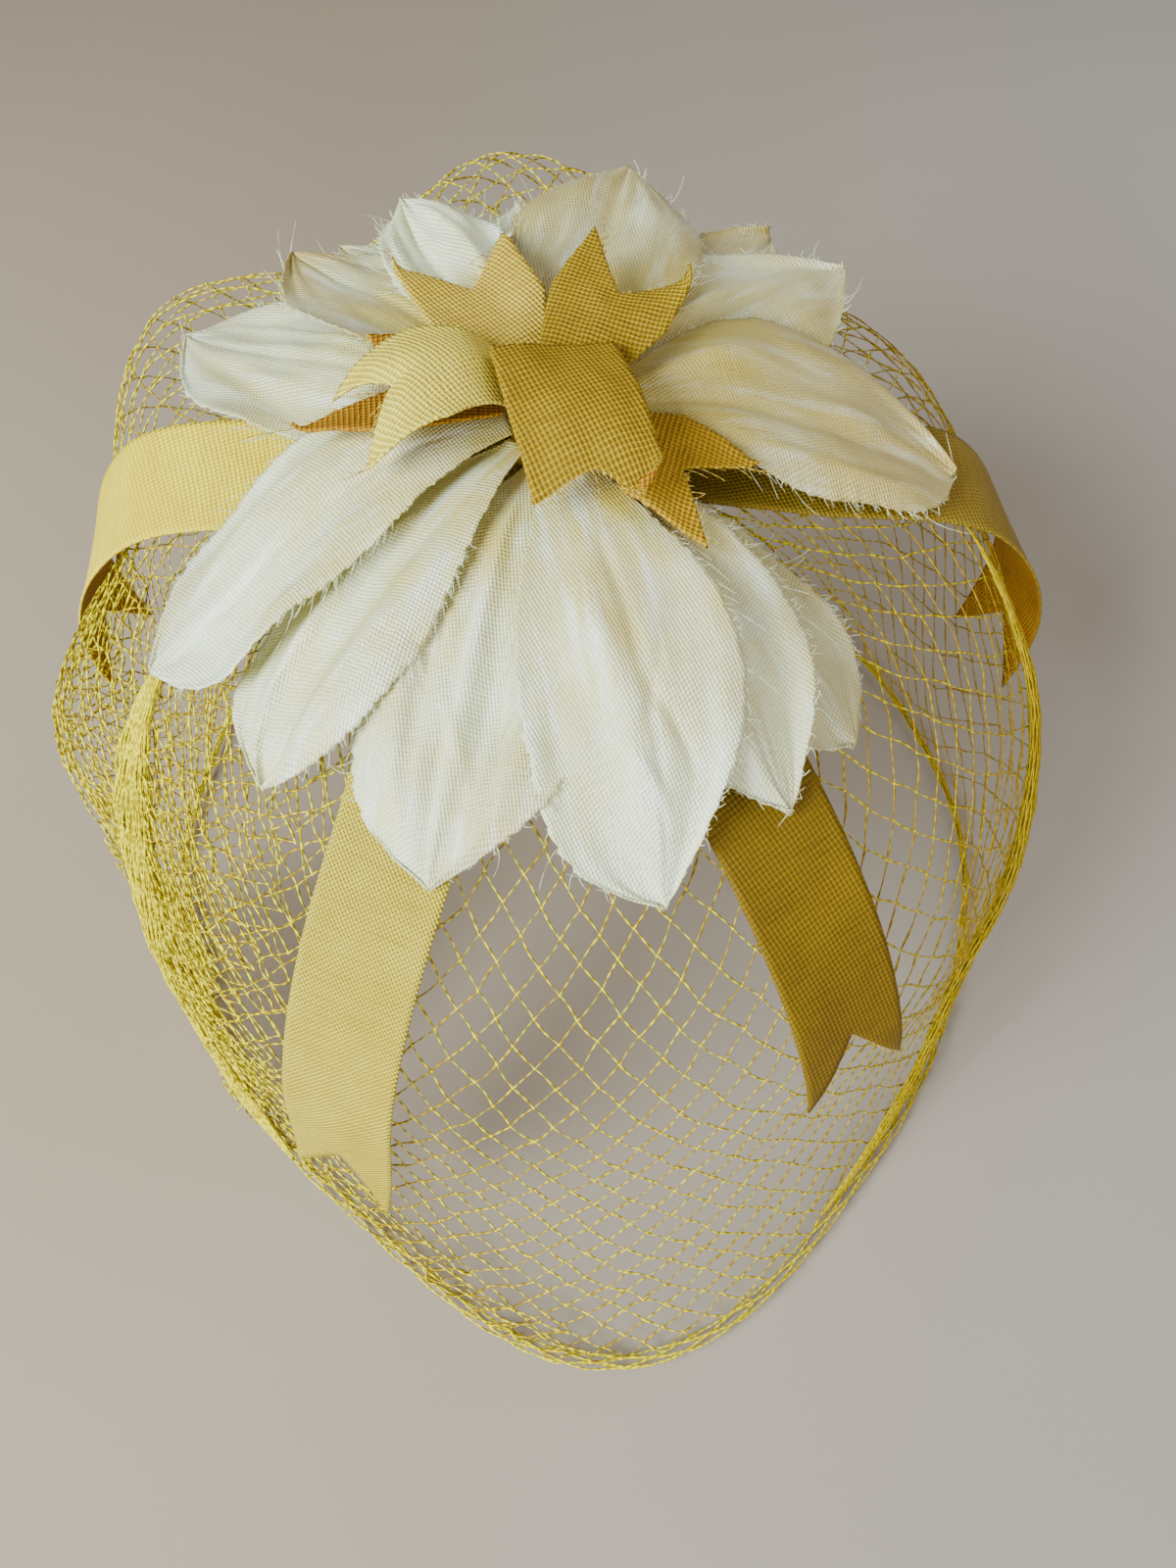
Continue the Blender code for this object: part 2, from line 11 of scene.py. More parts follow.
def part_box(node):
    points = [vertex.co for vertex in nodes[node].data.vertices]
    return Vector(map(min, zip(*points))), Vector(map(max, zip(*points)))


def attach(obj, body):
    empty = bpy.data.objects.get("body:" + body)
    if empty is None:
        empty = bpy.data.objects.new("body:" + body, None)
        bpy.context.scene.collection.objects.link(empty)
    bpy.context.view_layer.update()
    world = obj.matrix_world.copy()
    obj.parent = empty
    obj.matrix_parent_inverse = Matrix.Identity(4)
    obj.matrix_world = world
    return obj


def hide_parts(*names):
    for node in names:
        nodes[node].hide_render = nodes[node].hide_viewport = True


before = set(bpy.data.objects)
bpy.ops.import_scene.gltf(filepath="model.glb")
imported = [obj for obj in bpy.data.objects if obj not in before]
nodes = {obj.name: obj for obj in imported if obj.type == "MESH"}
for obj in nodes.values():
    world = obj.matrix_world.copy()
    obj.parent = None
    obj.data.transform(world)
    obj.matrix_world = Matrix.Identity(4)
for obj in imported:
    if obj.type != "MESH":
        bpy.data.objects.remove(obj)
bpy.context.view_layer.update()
mm = 0.001
baseLow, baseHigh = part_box("crown_base")
flowerAxis = np.array([(baseLow.x + baseHigh.x) / 2, (baseLow.y + baseHigh.y) / 2, 0.0])
print("frame loaded, the flower stands at", flowerAxis[:2])


def tint(code):  # a screen colour such as D9C94B as linear light
    parts = [int(code[k:k + 2], 16) / 255 for k in (0, 2, 4)]
    return tuple(p / 12.92 if p < 0.04045 else ((p + 0.055) / 1.055) ** 2.4 for p in parts)


class Wire:  # a socket that can be used in sums
    def __init__(self, paint, socket):
        self.paint, self.socket = paint, socket

    def __add__(self, other):
        return self.paint.maths("ADD", self, other)

    __radd__ = __add__

    def __sub__(self, other):
        return self.paint.maths("SUBTRACT", self, other)

    def __rsub__(self, other):
        return self.paint.maths("SUBTRACT", other, self)

    def __mul__(self, other):
        return self.paint.maths("MULTIPLY", self, other)

    __rmul__ = __mul__


class Paint:  # one material and its node tree
    def __init__(self, name):
        self.material = bpy.data.materials.new(name)
        self.material.use_nodes = True
        self.tree = self.material.node_tree
        self.tree.nodes.clear()

    def node(self, kind, settings=None, inputs=None, out=0):
        made = self.tree.nodes.new("ShaderNode" + kind)
        for key, value in (settings or {}).items():
            setattr(made, key, value)
        for key, value in (inputs or {}).items():
            socket = made.inputs[key]
            if isinstance(value, Wire):
                self.tree.links.new(value.socket, socket)
            else:
                socket.default_value = (*value, 1) if socket.type == "RGBA" else value
        return Wire(self, made.outputs[out])

    def maths(self, operation, a, b=0.0):
        return self.node("Math", {"operation": operation}, {0: a, 1: b})

    def place(self):  # where a point lies in the piece's own space
        return self.node("TexCoord", out="Object")

    def attribute(self, name, out="Fac"):
        return self.node("Attribute", {"attribute_name": name}, out=out)

    def noise(self, where, scale, detail=2.0, roughness=0.5, stretch=(1, 1, 1)):
        spread = self.node("VectorMath", {"operation": "MULTIPLY"}, {0: where, 1: stretch})
        return self.node("TexNoise", {}, {"Vector": spread, "Scale": scale, "Detail": detail,
                                          "Roughness": roughness})

    def between(self, value, low, high, toLow=0.0, toHigh=1.0):  # rescaled and held inside its ends
        return self.node("MapRange", {"clamp": True}, {0: value, 1: low, 2: high, 3: toLow, 4: toHigh})

    def blend(self, share, a, b, kind="MIX"):
        return self.node("Mix", {"data_type": "RGBA", "blend_type": kind}, {0: share, 6: a, 7: b}, out=2)

    def bump(self, height, strength, distance):
        return self.node("Bump", {}, {"Height": height, "Strength": strength, "Distance": distance})

    def surface(self, colour, rough, bump, others):
        shader = self.node("BsdfPrincipled", {}, {"Base Color": colour, "Roughness": rough, "Normal": bump, **others})
        end = self.tree.nodes.new("ShaderNodeOutputMaterial")
        self.tree.links.new(shader.socket, end.inputs["Surface"])
        return self.material


# ivory and cream are the silk's own tints; heart is its yellow tint near the base, deepened by painted shade; warm is
# painted warm shade; the palest colour is a painted highlight
silkLook = {
    "ivory": (0.83, 0.96, 0.73), "cream": (0.84, 0.82, 0.46), "heart": (0.60, 0.48, 0.05), "warm": (0.45, 0.34, 0.08),
    "paintedHighlight": (0.88, 1.0, 0.92), "threadPitch": 0.92, "bias": 0.45,
}


def silkFinish():
    paint = Paint("silkTaffeta")
    cloth = paint.attribute("weave", "Vector")
    parts = paint.node("SeparateXYZ", {}, {0: cloth})
    along = Wire(paint, parts.socket.node.outputs[1])
    pull = 2 * math.pi / silkLook["threadPitch"]
    wander = paint.noise(cloth, 0.12, 2) * 0.9
    warp = paint.maths("SINE", (parts + along * silkLook["bias"] + wander) * pull)
    weft = paint.maths("SINE", (along - parts * silkLook["bias"] + wander) * pull)
    slubWarp = paint.noise(cloth, 1.0, 2, stretch=(2.6, 0.09, 1))
    slubWeft = paint.noise(cloth, 1.0, 2, stretch=(0.09, 2.6, 1))
    cloudy = paint.noise(cloth, 0.09, 4, 0.6)
    streak = paint.noise(cloth, 1.0, 3, 0.6, stretch=(0.34, 0.045, 1))
    heart = paint.attribute("heart")
    paintedShade = paint.attribute("paintedShade")
    colour = paint.blend(paint.between(cloudy, 0.36, 0.66, 0.0, 0.9), silkLook["ivory"], silkLook["cream"])
    # painted shade: petals turned away from the key lamp, and their tips, are blended towards the warm colour
    colour = paint.blend(paintedShade * paint.between(streak, 0.3, 0.7, 1.0, 0.75), colour, silkLook["warm"])
    # heart: the silk's own yellow near the base, deepened as painted shade where the bow covers the core
    colour = paint.blend(heart * paint.between(cloudy, 0.25, 0.7, 0.6, 1.0), colour, silkLook["heart"])
    # painted highlight: pale streaks along the petals where the satin sheen would catch the light, fewer on the
    # warm-shaded petals
    colour = paint.blend(paint.between(streak, 0.52, 0.66, 0.0, 0.55) * (1 - paintedShade * 0.6), colour, silkLook["paintedHighlight"])
    dots = paint.between(warp * weft, -0.7, 0.7, 0.84, 1.12)
    threads = dots * paint.between(slubWarp + slubWeft, 0.7, 1.3, 0.95, 1.04)
    shade = paint.node("CombineColor", {}, {0: threads, 1: threads, 2: threads * threads})
    colour = paint.blend(1.0, colour, shade, "MULTIPLY")
    relief = warp * weft * 0.8 + (slubWarp + slubWeft) * 1.4
    rough = paint.between(streak + slubWarp * 0.3, 0.45, 0.85, 0.42, 0.24)
    gloss = paint.between(streak, 0.45, 0.7, 0.1, 0.5)
    return paint.surface(colour, rough, paint.bump(relief, 0.6, 0.00022), {
        "Sheen Weight": 0.1, "Sheen Roughness": 0.3, "Specular IOR Level": 0.75, "Anisotropic": 0.45,
        "Coat Weight": gloss, "Coat Roughness": 0.3})


ribbonLook = {
    "ribPitch": 0.95, "crossPitch": 0.85,
    # bright, middle and dark yarn, how far the ribs lean, how strong they are
    "gold": ((0.66, 0.42, 0.015), (0.46, 0.26, 0.003), (0.26, 0.12, 0.001), 0.25, 0.9),
    # painted light: a lit copy of the gold, for the back-left tail
    "litPaleGold": ((0.97, 0.73, 0.11), (0.75, 0.53, 0.04), (0.42, 0.24, 0.006), 0.25, 1.0),
    # painted light: a brighter lit copy of the gold, for the left tail
    "litGold": ((1.0, 0.90, 0.15), (0.88, 0.71, 0.07), (0.50, 0.34, 0.012), 0.5, 0.9),
    # painted shade: a darker copy of the gold, for the front and back tails
    "shadedGold": ((0.50, 0.34, 0.012), (0.34, 0.21, 0.004), (0.19, 0.10, 0.001), 0.2, 0.9),
    # the darker orange of the ribbon backs, partly their own colour and partly painted shade; painted shade on top of
    # the low left tail
    "shadeOrange": ((0.54, 0.27, 0.010), (0.40, 0.18, 0.004), (0.24, 0.09, 0.002), 0.25, 0.9),
    # painted light: a lit copy of the gold, for the left streamer
    "litStraw": ((0.96, 0.84, 0.11), (0.77, 0.61, 0.045), (0.44, 0.30, 0.008), 0.9, 1.1),
    # painted shade: a darker copy of the gold, for the right streamer
    "shadedOchre": ((0.24, 0.15, 0.001), (0.17, 0.10, 0.001), (0.10, 0.055, 0.001), 0.15, 0.6),
    # painted light: a lit copy of the gold, for the front end of the side streamer
    "litLemon": ((1.0, 0.86, 0.05), (0.86, 0.67, 0.02), (0.58, 0.40, 0.006), 0.3, 0.7),
    # painted shade: a darker copy of the gold, for the back end of the side streamer
    "shadedOlive": ((0.34, 0.24, 0.02), (0.26, 0.17, 0.008), (0.17, 0.09, 0.002), 0.3, 0.7),
}


def ribbonFinish(name):
    bright, middle, dark, slant, strength = ribbonLook[name]
    paint = Paint(name + "Faille")
    cloth = paint.attribute("weave", "Vector")
    parts = paint.node("SeparateXYZ", {}, {0: cloth})
    along = Wire(paint, parts.socket.node.outputs[1])
    wander = paint.noise(cloth, 0.10, 2) * 0.7
    ribs = paint.maths("SINE", (along + parts * slant + wander) * (2 * math.pi / ribbonLook["ribPitch"]))
    cross = paint.maths("SINE", (parts - along * slant + wander) * (2 * math.pi / ribbonLook["crossPitch"]))
    slub = paint.noise(cloth, 1.0, 2, stretch=(0.10, 2.0, 1))
    fleck = paint.noise(cloth, 1.0, 1, stretch=(0.35, 1.6, 1))
    cloudy = paint.noise(cloth, 0.07, 4, 0.6)
    rimShare = paint.attribute("rim")
    colour = paint.blend(paint.between(cloudy, 0.3, 0.72), middle, bright)
    colour = paint.blend(paint.between(slub, 0.52, 0.7, 0.0, 0.4), colour, dark)
    colour = paint.blend(paint.between(fleck, 0.68, 0.76, 0.0, 0.5), colour, bright)
    # lighter towards the cut edges and the end of each piece
    colour = paint.blend(rimShare * 0.6, colour, bright)
    raised = paint.maths("MAXIMUM", ribs, -0.35) + cross * 0.5
    colour = paint.blend(paint.between(raised, -0.8, 0.35, 0.75 * strength, 0.0), colour, dark)
    threads = paint.between(raised, -0.8, 1.5, 1 - 0.32 * strength, 1 + 0.14 * strength)
    shade = paint.node("CombineColor", {}, {0: threads, 1: threads, 2: threads})
    colour = paint.blend(1.0, colour, shade, "MULTIPLY")
    relief = raised * 0.9 + slub * 2.0
    rough = paint.between(slub + cloudy, 0.6, 1.4, 0.45, 0.68)
    return paint.surface(colour, rough, paint.bump(relief, min(1.0, 0.75 * strength), 0.0003), {
        "Sheen Weight": 0.06, "Sheen Roughness": 0.4, "Sheen Tint": bright, "Specular IOR Level": 0.2})


def netFinish(name, bright, dull, deep, dusk):  # dusk is its colour on the shaded right-hand side
    paint = Paint(name)
    twist = paint.attribute("twist")
    glow = paint.attribute("glow")
    place = paint.place()
    ply = paint.maths("SINE", twist * (2 * math.pi))
    patchy = paint.noise(place, 22, 3, 0.6)
    fibre = paint.noise(place, 1500, 2)
    # painted highlight and painted shade: bars of one direction are lighter and the other darker, and the dashes along
    # each twist brighten as a highlight would
    share = paint.between(patchy + glow * 0.55 + ply * 0.16, 0.45, 0.95)
    colour = paint.blend(share, dull, bright)
    # painted shade: the deep colour in the twist troughs, more on the bars given a low value
    colour = paint.blend(paint.between(ply - glow * 0.5, -1.2, 0.1, 0.75, 0.0), colour, deep)
    shaded = paint.between(paint.node("SeparateXYZ", {}, {0: place}) + patchy * 0.05, 0.045, 0.12, 0.0, 0.8)
    colour = paint.blend(shaded, colour, dusk)
    relief = ply + fibre * 0.4
    rough = paint.between(fibre, 0.3, 0.7, 0.35, 0.55)
    return paint.surface(colour, rough, paint.bump(relief, 0.5, 0.0001), {"Specular IOR Level": 0.25})


def feltFinish():
    paint = Paint("baseFelt")
    place = paint.place()
    fluff = paint.noise(place, 900, 4, 0.7)
    blotch = paint.noise(place, 60, 3)
    colour = paint.blend(paint.between(blotch, 0.35, 0.65), tint("D8CBA0"), tint("E6DDBE"))
    colour = paint.blend(paint.between(fluff, 0.5, 0.75, 0, 0.4), colour, tint("B9AA7C"))
    rough = paint.between(fluff, 0, 1, 0.8, 0.98)
    return paint.surface(colour, rough, paint.bump(fluff, 0.8, 0.0006), {"Sheen Weight": 0.4})


def combFinish():
    paint = Paint("combPlastic")
    place = paint.place()
    cloud = paint.noise(place, 70, 3)
    scuff = paint.noise(place, 600, 3, stretch=(0.1, 1, 1))
    colour = paint.blend(paint.between(cloud, 0.3, 0.7), tint("E9E2CC"), tint("D9CFB0"))
    rough = paint.between(scuff, 0.4, 0.7, 0.18, 0.4)
    return paint.surface(colour, rough, paint.bump(scuff, 0.15, 0.0002), {"Transmission Weight": 0.35, "IOR": 1.49})


def floorFinish():
    paint = Paint("paleTableTop")
    place = paint.place()
    cloud = paint.noise(place, 3, 4, 0.6)
    grain = paint.noise(place, 900, 2)
    sideways = paint.node("SeparateXYZ", {}, {0: place})
    # painted light: the table is warmer on the left and cooler on the right, the colour of the light falling there
    warm = paint.blend(paint.between(cloud, 0.3, 0.7), (0.352, 0.290, 0.222), (0.378, 0.312, 0.242))
    cool = paint.blend(paint.between(cloud, 0.3, 0.7), (0.350, 0.340, 0.330), (0.375, 0.363, 0.355))
    colour = paint.blend(paint.between(sideways + cloud * 0.1, -0.06, 0.34), warm, cool)
    rough = paint.between(grain, 0, 1, 0.55, 0.75)
    return paint.surface(colour, rough, paint.bump(grain, 0.05, 0.0002), {"Specular IOR Level": 0.3})


silk = silkFinish()
gold, litPaleGold, litGold, shadedGold, shadeOrange, litStraw, shadedOchre, litLemon, shadedOlive = (
    ribbonFinish(name) for name in
    ("gold", "litPaleGold", "litGold", "shadedGold", "shadeOrange", "litStraw", "shadedOchre", "litLemon", "shadedOlive"))
netYellow = netFinish("lemonNet", (0.92, 0.84, 0.0), (0.42, 0.29, 0.0), (0.26, 0.14, 0.0), (0.33, 0.19, 0.001))
goldThread = netFinish("goldThread", (0.90, 0.72, 0.14), (0.56, 0.34, 0.02), (0.32, 0.16, 0.003), (0.50, 0.31, 0.01))
hemYellow = netFinish("hemNet", (0.90, 0.84, 0.0), (0.76, 0.64, 0.0), (0.50, 0.36, 0.0), (0.44, 0.28, 0.0))
print("finishes mixed")


# the veil's shape, as in the part: one section for each azimuth, in millimetres and degrees
veil = {
    "crownHeight": 107.0, "crownFlat": 20.0, "hemRadius": 1.4,
    # azimuth; reach and height of shoulder, brow, bulge and foot; reach of the hem
    "sections": [
        (12, 50, 101, 82, 92, 99, 62, 96, 18, 97), (38, 54, 104, 88, 98, 106, 72, 98, 20, 94),
        (66, 52, 109, 78, 109, 94, 80, 88, 22, 88), (98, 56, 114, 82, 123, 98, 98, 90, 26, 90),
        (124, 52, 108, 78, 109, 97, 82, 90, 22, 89), (148, 56, 110, 93, 109, 109, 83, 98, 22, 95),
        (174, 50, 101, 80, 92, 97, 62, 93, 18, 93), (191, 50, 98, 84, 84, 105, 57, 98, 17, 96),
        (209, 48, 95, 79, 75, 96, 42, 95, 14, 97), (229, 48, 94, 80, 72, 99, 43, 102, 15, 105),
        (250, 48, 93, 80, 70, 98, 46, 106, 18, 114), (276, 48, 93, 80, 70, 99, 49, 113, 20, 134),
        (304, 48, 94, 80, 72, 100, 46, 107, 18, 117), (330, 50, 96, 83, 76, 103, 46, 105, 16, 107),
        (354, 50, 98, 85, 83, 104, 53, 101, 16, 102),
    ],
}


def unit(vectors):
    return vectors / (np.linalg.norm(vectors, axis=-1, keepdims=True) + 1e-12)


def goneAlong(path):  # distance from the first point to each of the others
    return np.concatenate([[0], np.cumsum(np.linalg.norm(np.diff(path, axis=0), axis=1))])


def hermite(a, b, slopeA, slopeB, t):
    return (a * (2 * t**3 - 3 * t**2 + 1) + b * (3 * t**2 - 2 * t**3)
            + slopeA * (t**3 - 2 * t**2 + t) + slopeB * (t**3 - t**2))


def sectionAt(azimuth):
    table = veil["sections"]
    after = next((i for i, row in enumerate(table) if row[0] > azimuth % 360), 0)
    rows = [table[(after + k) % len(table)] for k in (-2, -1, 0, 1)]
    spans = [(rows[k + 1][0] - rows[k][0]) % 360 for k in range(3)]
    t = ((azimuth - rows[1][0]) % 360) / spans[1]
    found = []
    for before, low, high, beyond in zip(*[row[1:] for row in rows]):
        found.append(hermite(low, high, (high - before) / (spans[0] + spans[1]) * spans[1],
                             (beyond - low) / (spans[1] + spans[2]) * spans[1], t))
    return found


def profileAt(azimuth, steps=12):  # rows of distance, reach and height from the axis to the hem
    row = sectionAt(azimuth)
    crown, flat = veil["crownHeight"], veil["crownFlat"]
    knots = [(2 * flat - row[0], row[1]), (flat, crown), *zip(row[0:8:2], row[1:8:2]), (row[8], veil["hemRadius"])]
    knots.append((2 * knots[-1][0] - knots[-2][0], veil["hemRadius"]))
    line = [(0.0, 0.0, crown), (flat, flat, crown)]
    for k in range(1, len(knots) - 2):
        before, low, high, beyond = knots[k - 1:k + 3]
        chords = [math.dist(p, q) for p, q in ((before, low), (low, high), (high, beyond))]
        for step in range(1, steps + 1):
            place = [hermite(low[i], high[i], (high[i] - before[i]) / (chords[0] + chords[1]) * chords[1],
                             (beyond[i] - low[i]) / (chords[1] + chords[2]) * chords[1], step / steps)
                     for i in (0, 1)]
            line.append((line[-1][0] + math.dist(place, line[-1][1:]), *place))
    return np.array(line)


class VeilSurface:  # looks up any point of the veil from its azimuth and its distance down from the axis
    def __init__(self, turn=2, samples=200):
        self.turn, self.samples = turn, samples
        lines = [profileAt(a) for a in range(0, 360, turn)]
        self.lengths = np.array([line[-1, 0] for line in lines])
        self.shape = np.array([[np.interp(np.linspace(0, line[-1, 0], samples), line[:, 0], line[:, k])
                                for k in (1, 2)] for line in lines])

    def length(self, azimuth):
        place = np.asarray(azimuth, float) % 360 / self.turn
        low = np.floor(place).astype(int) % len(self.lengths)
        return self.lengths[low] + (self.lengths[(low + 1) % len(self.lengths)] - self.lengths[low]) * (place % 1)

    def point(self, azimuth, distance):
        azimuth, distance = np.asarray(azimuth, float), np.asarray(distance, float)
        place = azimuth % 360 / self.turn
        low = np.floor(place).astype(int) % len(self.lengths)
        high, t = (low + 1) % len(self.lengths), place % 1
        share = np.clip(distance / self.length(azimuth), 0, 1) * (self.samples - 1)
        k = np.minimum(np.floor(share).astype(int), self.samples - 2)
        s = share - k
        values = []
        for axis in (0, 1):
            a = self.shape[low, axis, k] * (1 - s) + self.shape[low, axis, k + 1] * s
            b = self.shape[high, axis, k] * (1 - s) + self.shape[high, axis, k + 1] * s
            values.append(a * (1 - t) + b * t)
        angle = np.radians(azimuth)
        spot = np.stack([values[0] * np.cos(angle), values[0] * np.sin(angle), values[1]], axis=-1)
        return spot * mm + flowerAxis

    def outward(self, azimuth, distance):
        azimuth, distance = np.asarray(azimuth, float), np.asarray(distance, float)
        near = np.minimum(np.maximum(distance, 12.0), self.length(azimuth) - 3)
        down = self.point(azimuth, near + 1.5) - self.point(azimuth, near - 1.5)
        across = self.point(azimuth + 1.5, near) - self.point(azimuth - 1.5, near)
        return unit(np.cross(down, across))


surface = VeilSurface()
print("veil surface ready, hem length", round(float(surface.length(276)), 1))


def addObject(name, data):
    made = bpy.data.objects.new(name, data)
    bpy.context.scene.collection.objects.link(made)
    return made


def meshPiece(name, points, faces, marks, finishes):  # marks are values for each point that its finish reads
    mesh = bpy.data.meshes.new(name)
    mesh.from_pydata(points, [], faces)
    for mark, values in marks.items():
        spot = mesh.attributes.new(mark, "FLOAT", "POINT")
        spot.data.foreach_set("value", np.asarray(values, np.float32).ravel())
    for finish in finishes:
        mesh.materials.append(finish)
    mesh.shade_smooth()
    made = addObject(name, mesh)
    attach(made, "root")
    return made


class Threads:  # every strand of net and every loose thread goes through here
    def __init__(self):
        self.places, self.faces, self.twist, self.glow, self.count = [], [], [], [], 0

    def add(self, path, outward, radius, flat=0.62, pitch=1.7, sides=4, phase=0.0, taper=0.0, glow=0.5):
        path = np.asarray(path, float)
        ahead = unit(np.gradient(path, axis=0))
        side = unit(np.cross(ahead, np.broadcast_to(outward, path.shape)))
        up = np.cross(side, ahead)
        gone = goneAlong(path) / mm
        turn = phase + gone * 0.35  # each strand twists as it goes
        size = radius * mm * (1 - taper * np.linspace(0, 1, len(path)))
        ring = np.arange(sides) * 2 * math.pi / sides
        wide = side * np.cos(turn)[:, None] + up * np.sin(turn)[:, None]
        tall = up * np.cos(turn)[:, None] - side * np.sin(turn)[:, None]
        spots = (path[:, None] + wide[:, None] * (np.cos(ring)[None, :, None] * size[:, None, None])
                 + tall[:, None] * (np.sin(ring)[None, :, None] * size[:, None, None] * flat))
        k, s = np.meshgrid(np.arange(len(path) - 1), np.arange(sides), indexing="ij")
        n = (s + 1) % sides
        quads = np.stack([k * sides + s, k * sides + n, (k + 1) * sides + n, (k + 1) * sides + s], axis=-1)
        self.places.append(spots.reshape(-1, 3))
        self.faces.append(quads.reshape(-1, 4) + self.count)
        self.twist.append(np.repeat(gone / pitch + phase, sides))
        self.glow.append(np.full(len(path) * sides, glow))
        self.count += spots.shape[0] * sides

    def knot(self, place, outward, radius):
        place, out = np.asarray(place, float), np.asarray(outward, float)
        side = unit(np.cross(out, (0.31, 0.17, 0.93)))
        other = np.cross(out, side)
        r = radius * mm
        spots = [place + out * r * 0.8, place + side * r, place + other * r, place - side * r,
                 place - other * r, place - out * r * 0.8]
        faces = [(0, 1, 2, 2), (0, 2, 3, 3), (0, 3, 4, 4), (0, 4, 1, 1), (5, 2, 1, 1), (5, 3, 2, 2), (5, 4, 3, 3),
                 (5, 1, 4, 4)]
        self.places.append(np.array(spots))
        self.faces.append(np.array(faces) + self.count)
        self.twist.append(np.full(6, 0.25))
        # painted highlight: knots take a high value, so they are coloured lighter
        self.glow.append(np.full(6, 0.9))
        self.count += 6

    def finish(self, name, material):
        places = np.concatenate(self.places)
        faces = [tuple(dict.fromkeys(face)) for face in np.concatenate(self.faces).tolist()]
        marks = {"twist": np.concatenate(self.twist), "glow": np.concatenate(self.glow)}
        return meshPiece(name, places.tolist(), faces, marks, [material])


def meshArea(made):  # surface of the mesh as it is shown, in square metres
    graph = bpy.context.evaluated_depsgraph_get()
    shown = made.evaluated_get(graph)
    mesh = shown.to_mesh()
    total = sum(face.area for face in mesh.polygons)
    shown.to_mesh_clear()
    return total


net = {
    "columns": 66,      # meshes round the cap
    "ring": 125.0,      # distance from the axis where the columns are at even steps
    "cell": 6.35,       # side of a mesh, a quarter of an inch
    "rolledCell": 5.9,  # length of a mesh once the net is wound on a roll
    "leastRow": 2.2,    # a row is never lower than this
    "strand": 0.22,     # half the width of a strand
    "knot": 0.40,
    "start": 9.0,       # where the gathers begin, from the axis
    "lean": -0.18,      # degrees for each millimetre that the columns drift, most on the right-hand side
    "leanFrom": 265,    # the azimuth where the meshes hang straight
    "leanPast": 47,     # distance from the axis where the drift begins
    "loose": 0.45,      # how far a knot strays
    "wander": 0.8,      # how far knots near each other stray together
    "short": 0.8,       # how far above the edge the last bars stop
    "bend": 0.32,       # how far a bar bows between its knots
    "even": 12,         # times that the row heights are evened out with their neighbours
}


def barPoints(a, b, lift, bend, segments, rand):  # one bar between two knots
    t = np.linspace(0, 1, segments + 1)
    azimuth = a[0] + (b[0] - a[0]) * t
    distance = a[1] + (b[1] - a[1]) * t
    out = surface.outward(azimuth, distance)
    path = surface.point(azimuth, distance) + out * lift * mm
    bow = np.sin(math.pi * t)[:, None] * mm
    ahead = path[-1] - path[0]
    side = unit(np.cross(ahead, out[len(out) // 2]))
    path = path + bow * (side * rand.uniform(-bend, bend) + out * rand.uniform(-bend, bend) * 0.8)
    return path, out


def columnAzimuths(count):  # columns at even steps round the wall
    turns = np.arange(0, 361, 1.0)
    line = surface.point(turns, np.full(turns.shape, net["ring"]))
    gone = goneAlong(line)
    return np.interp(np.arange(count) / count * gone[-1], gone, turns), gone[-1] / mm


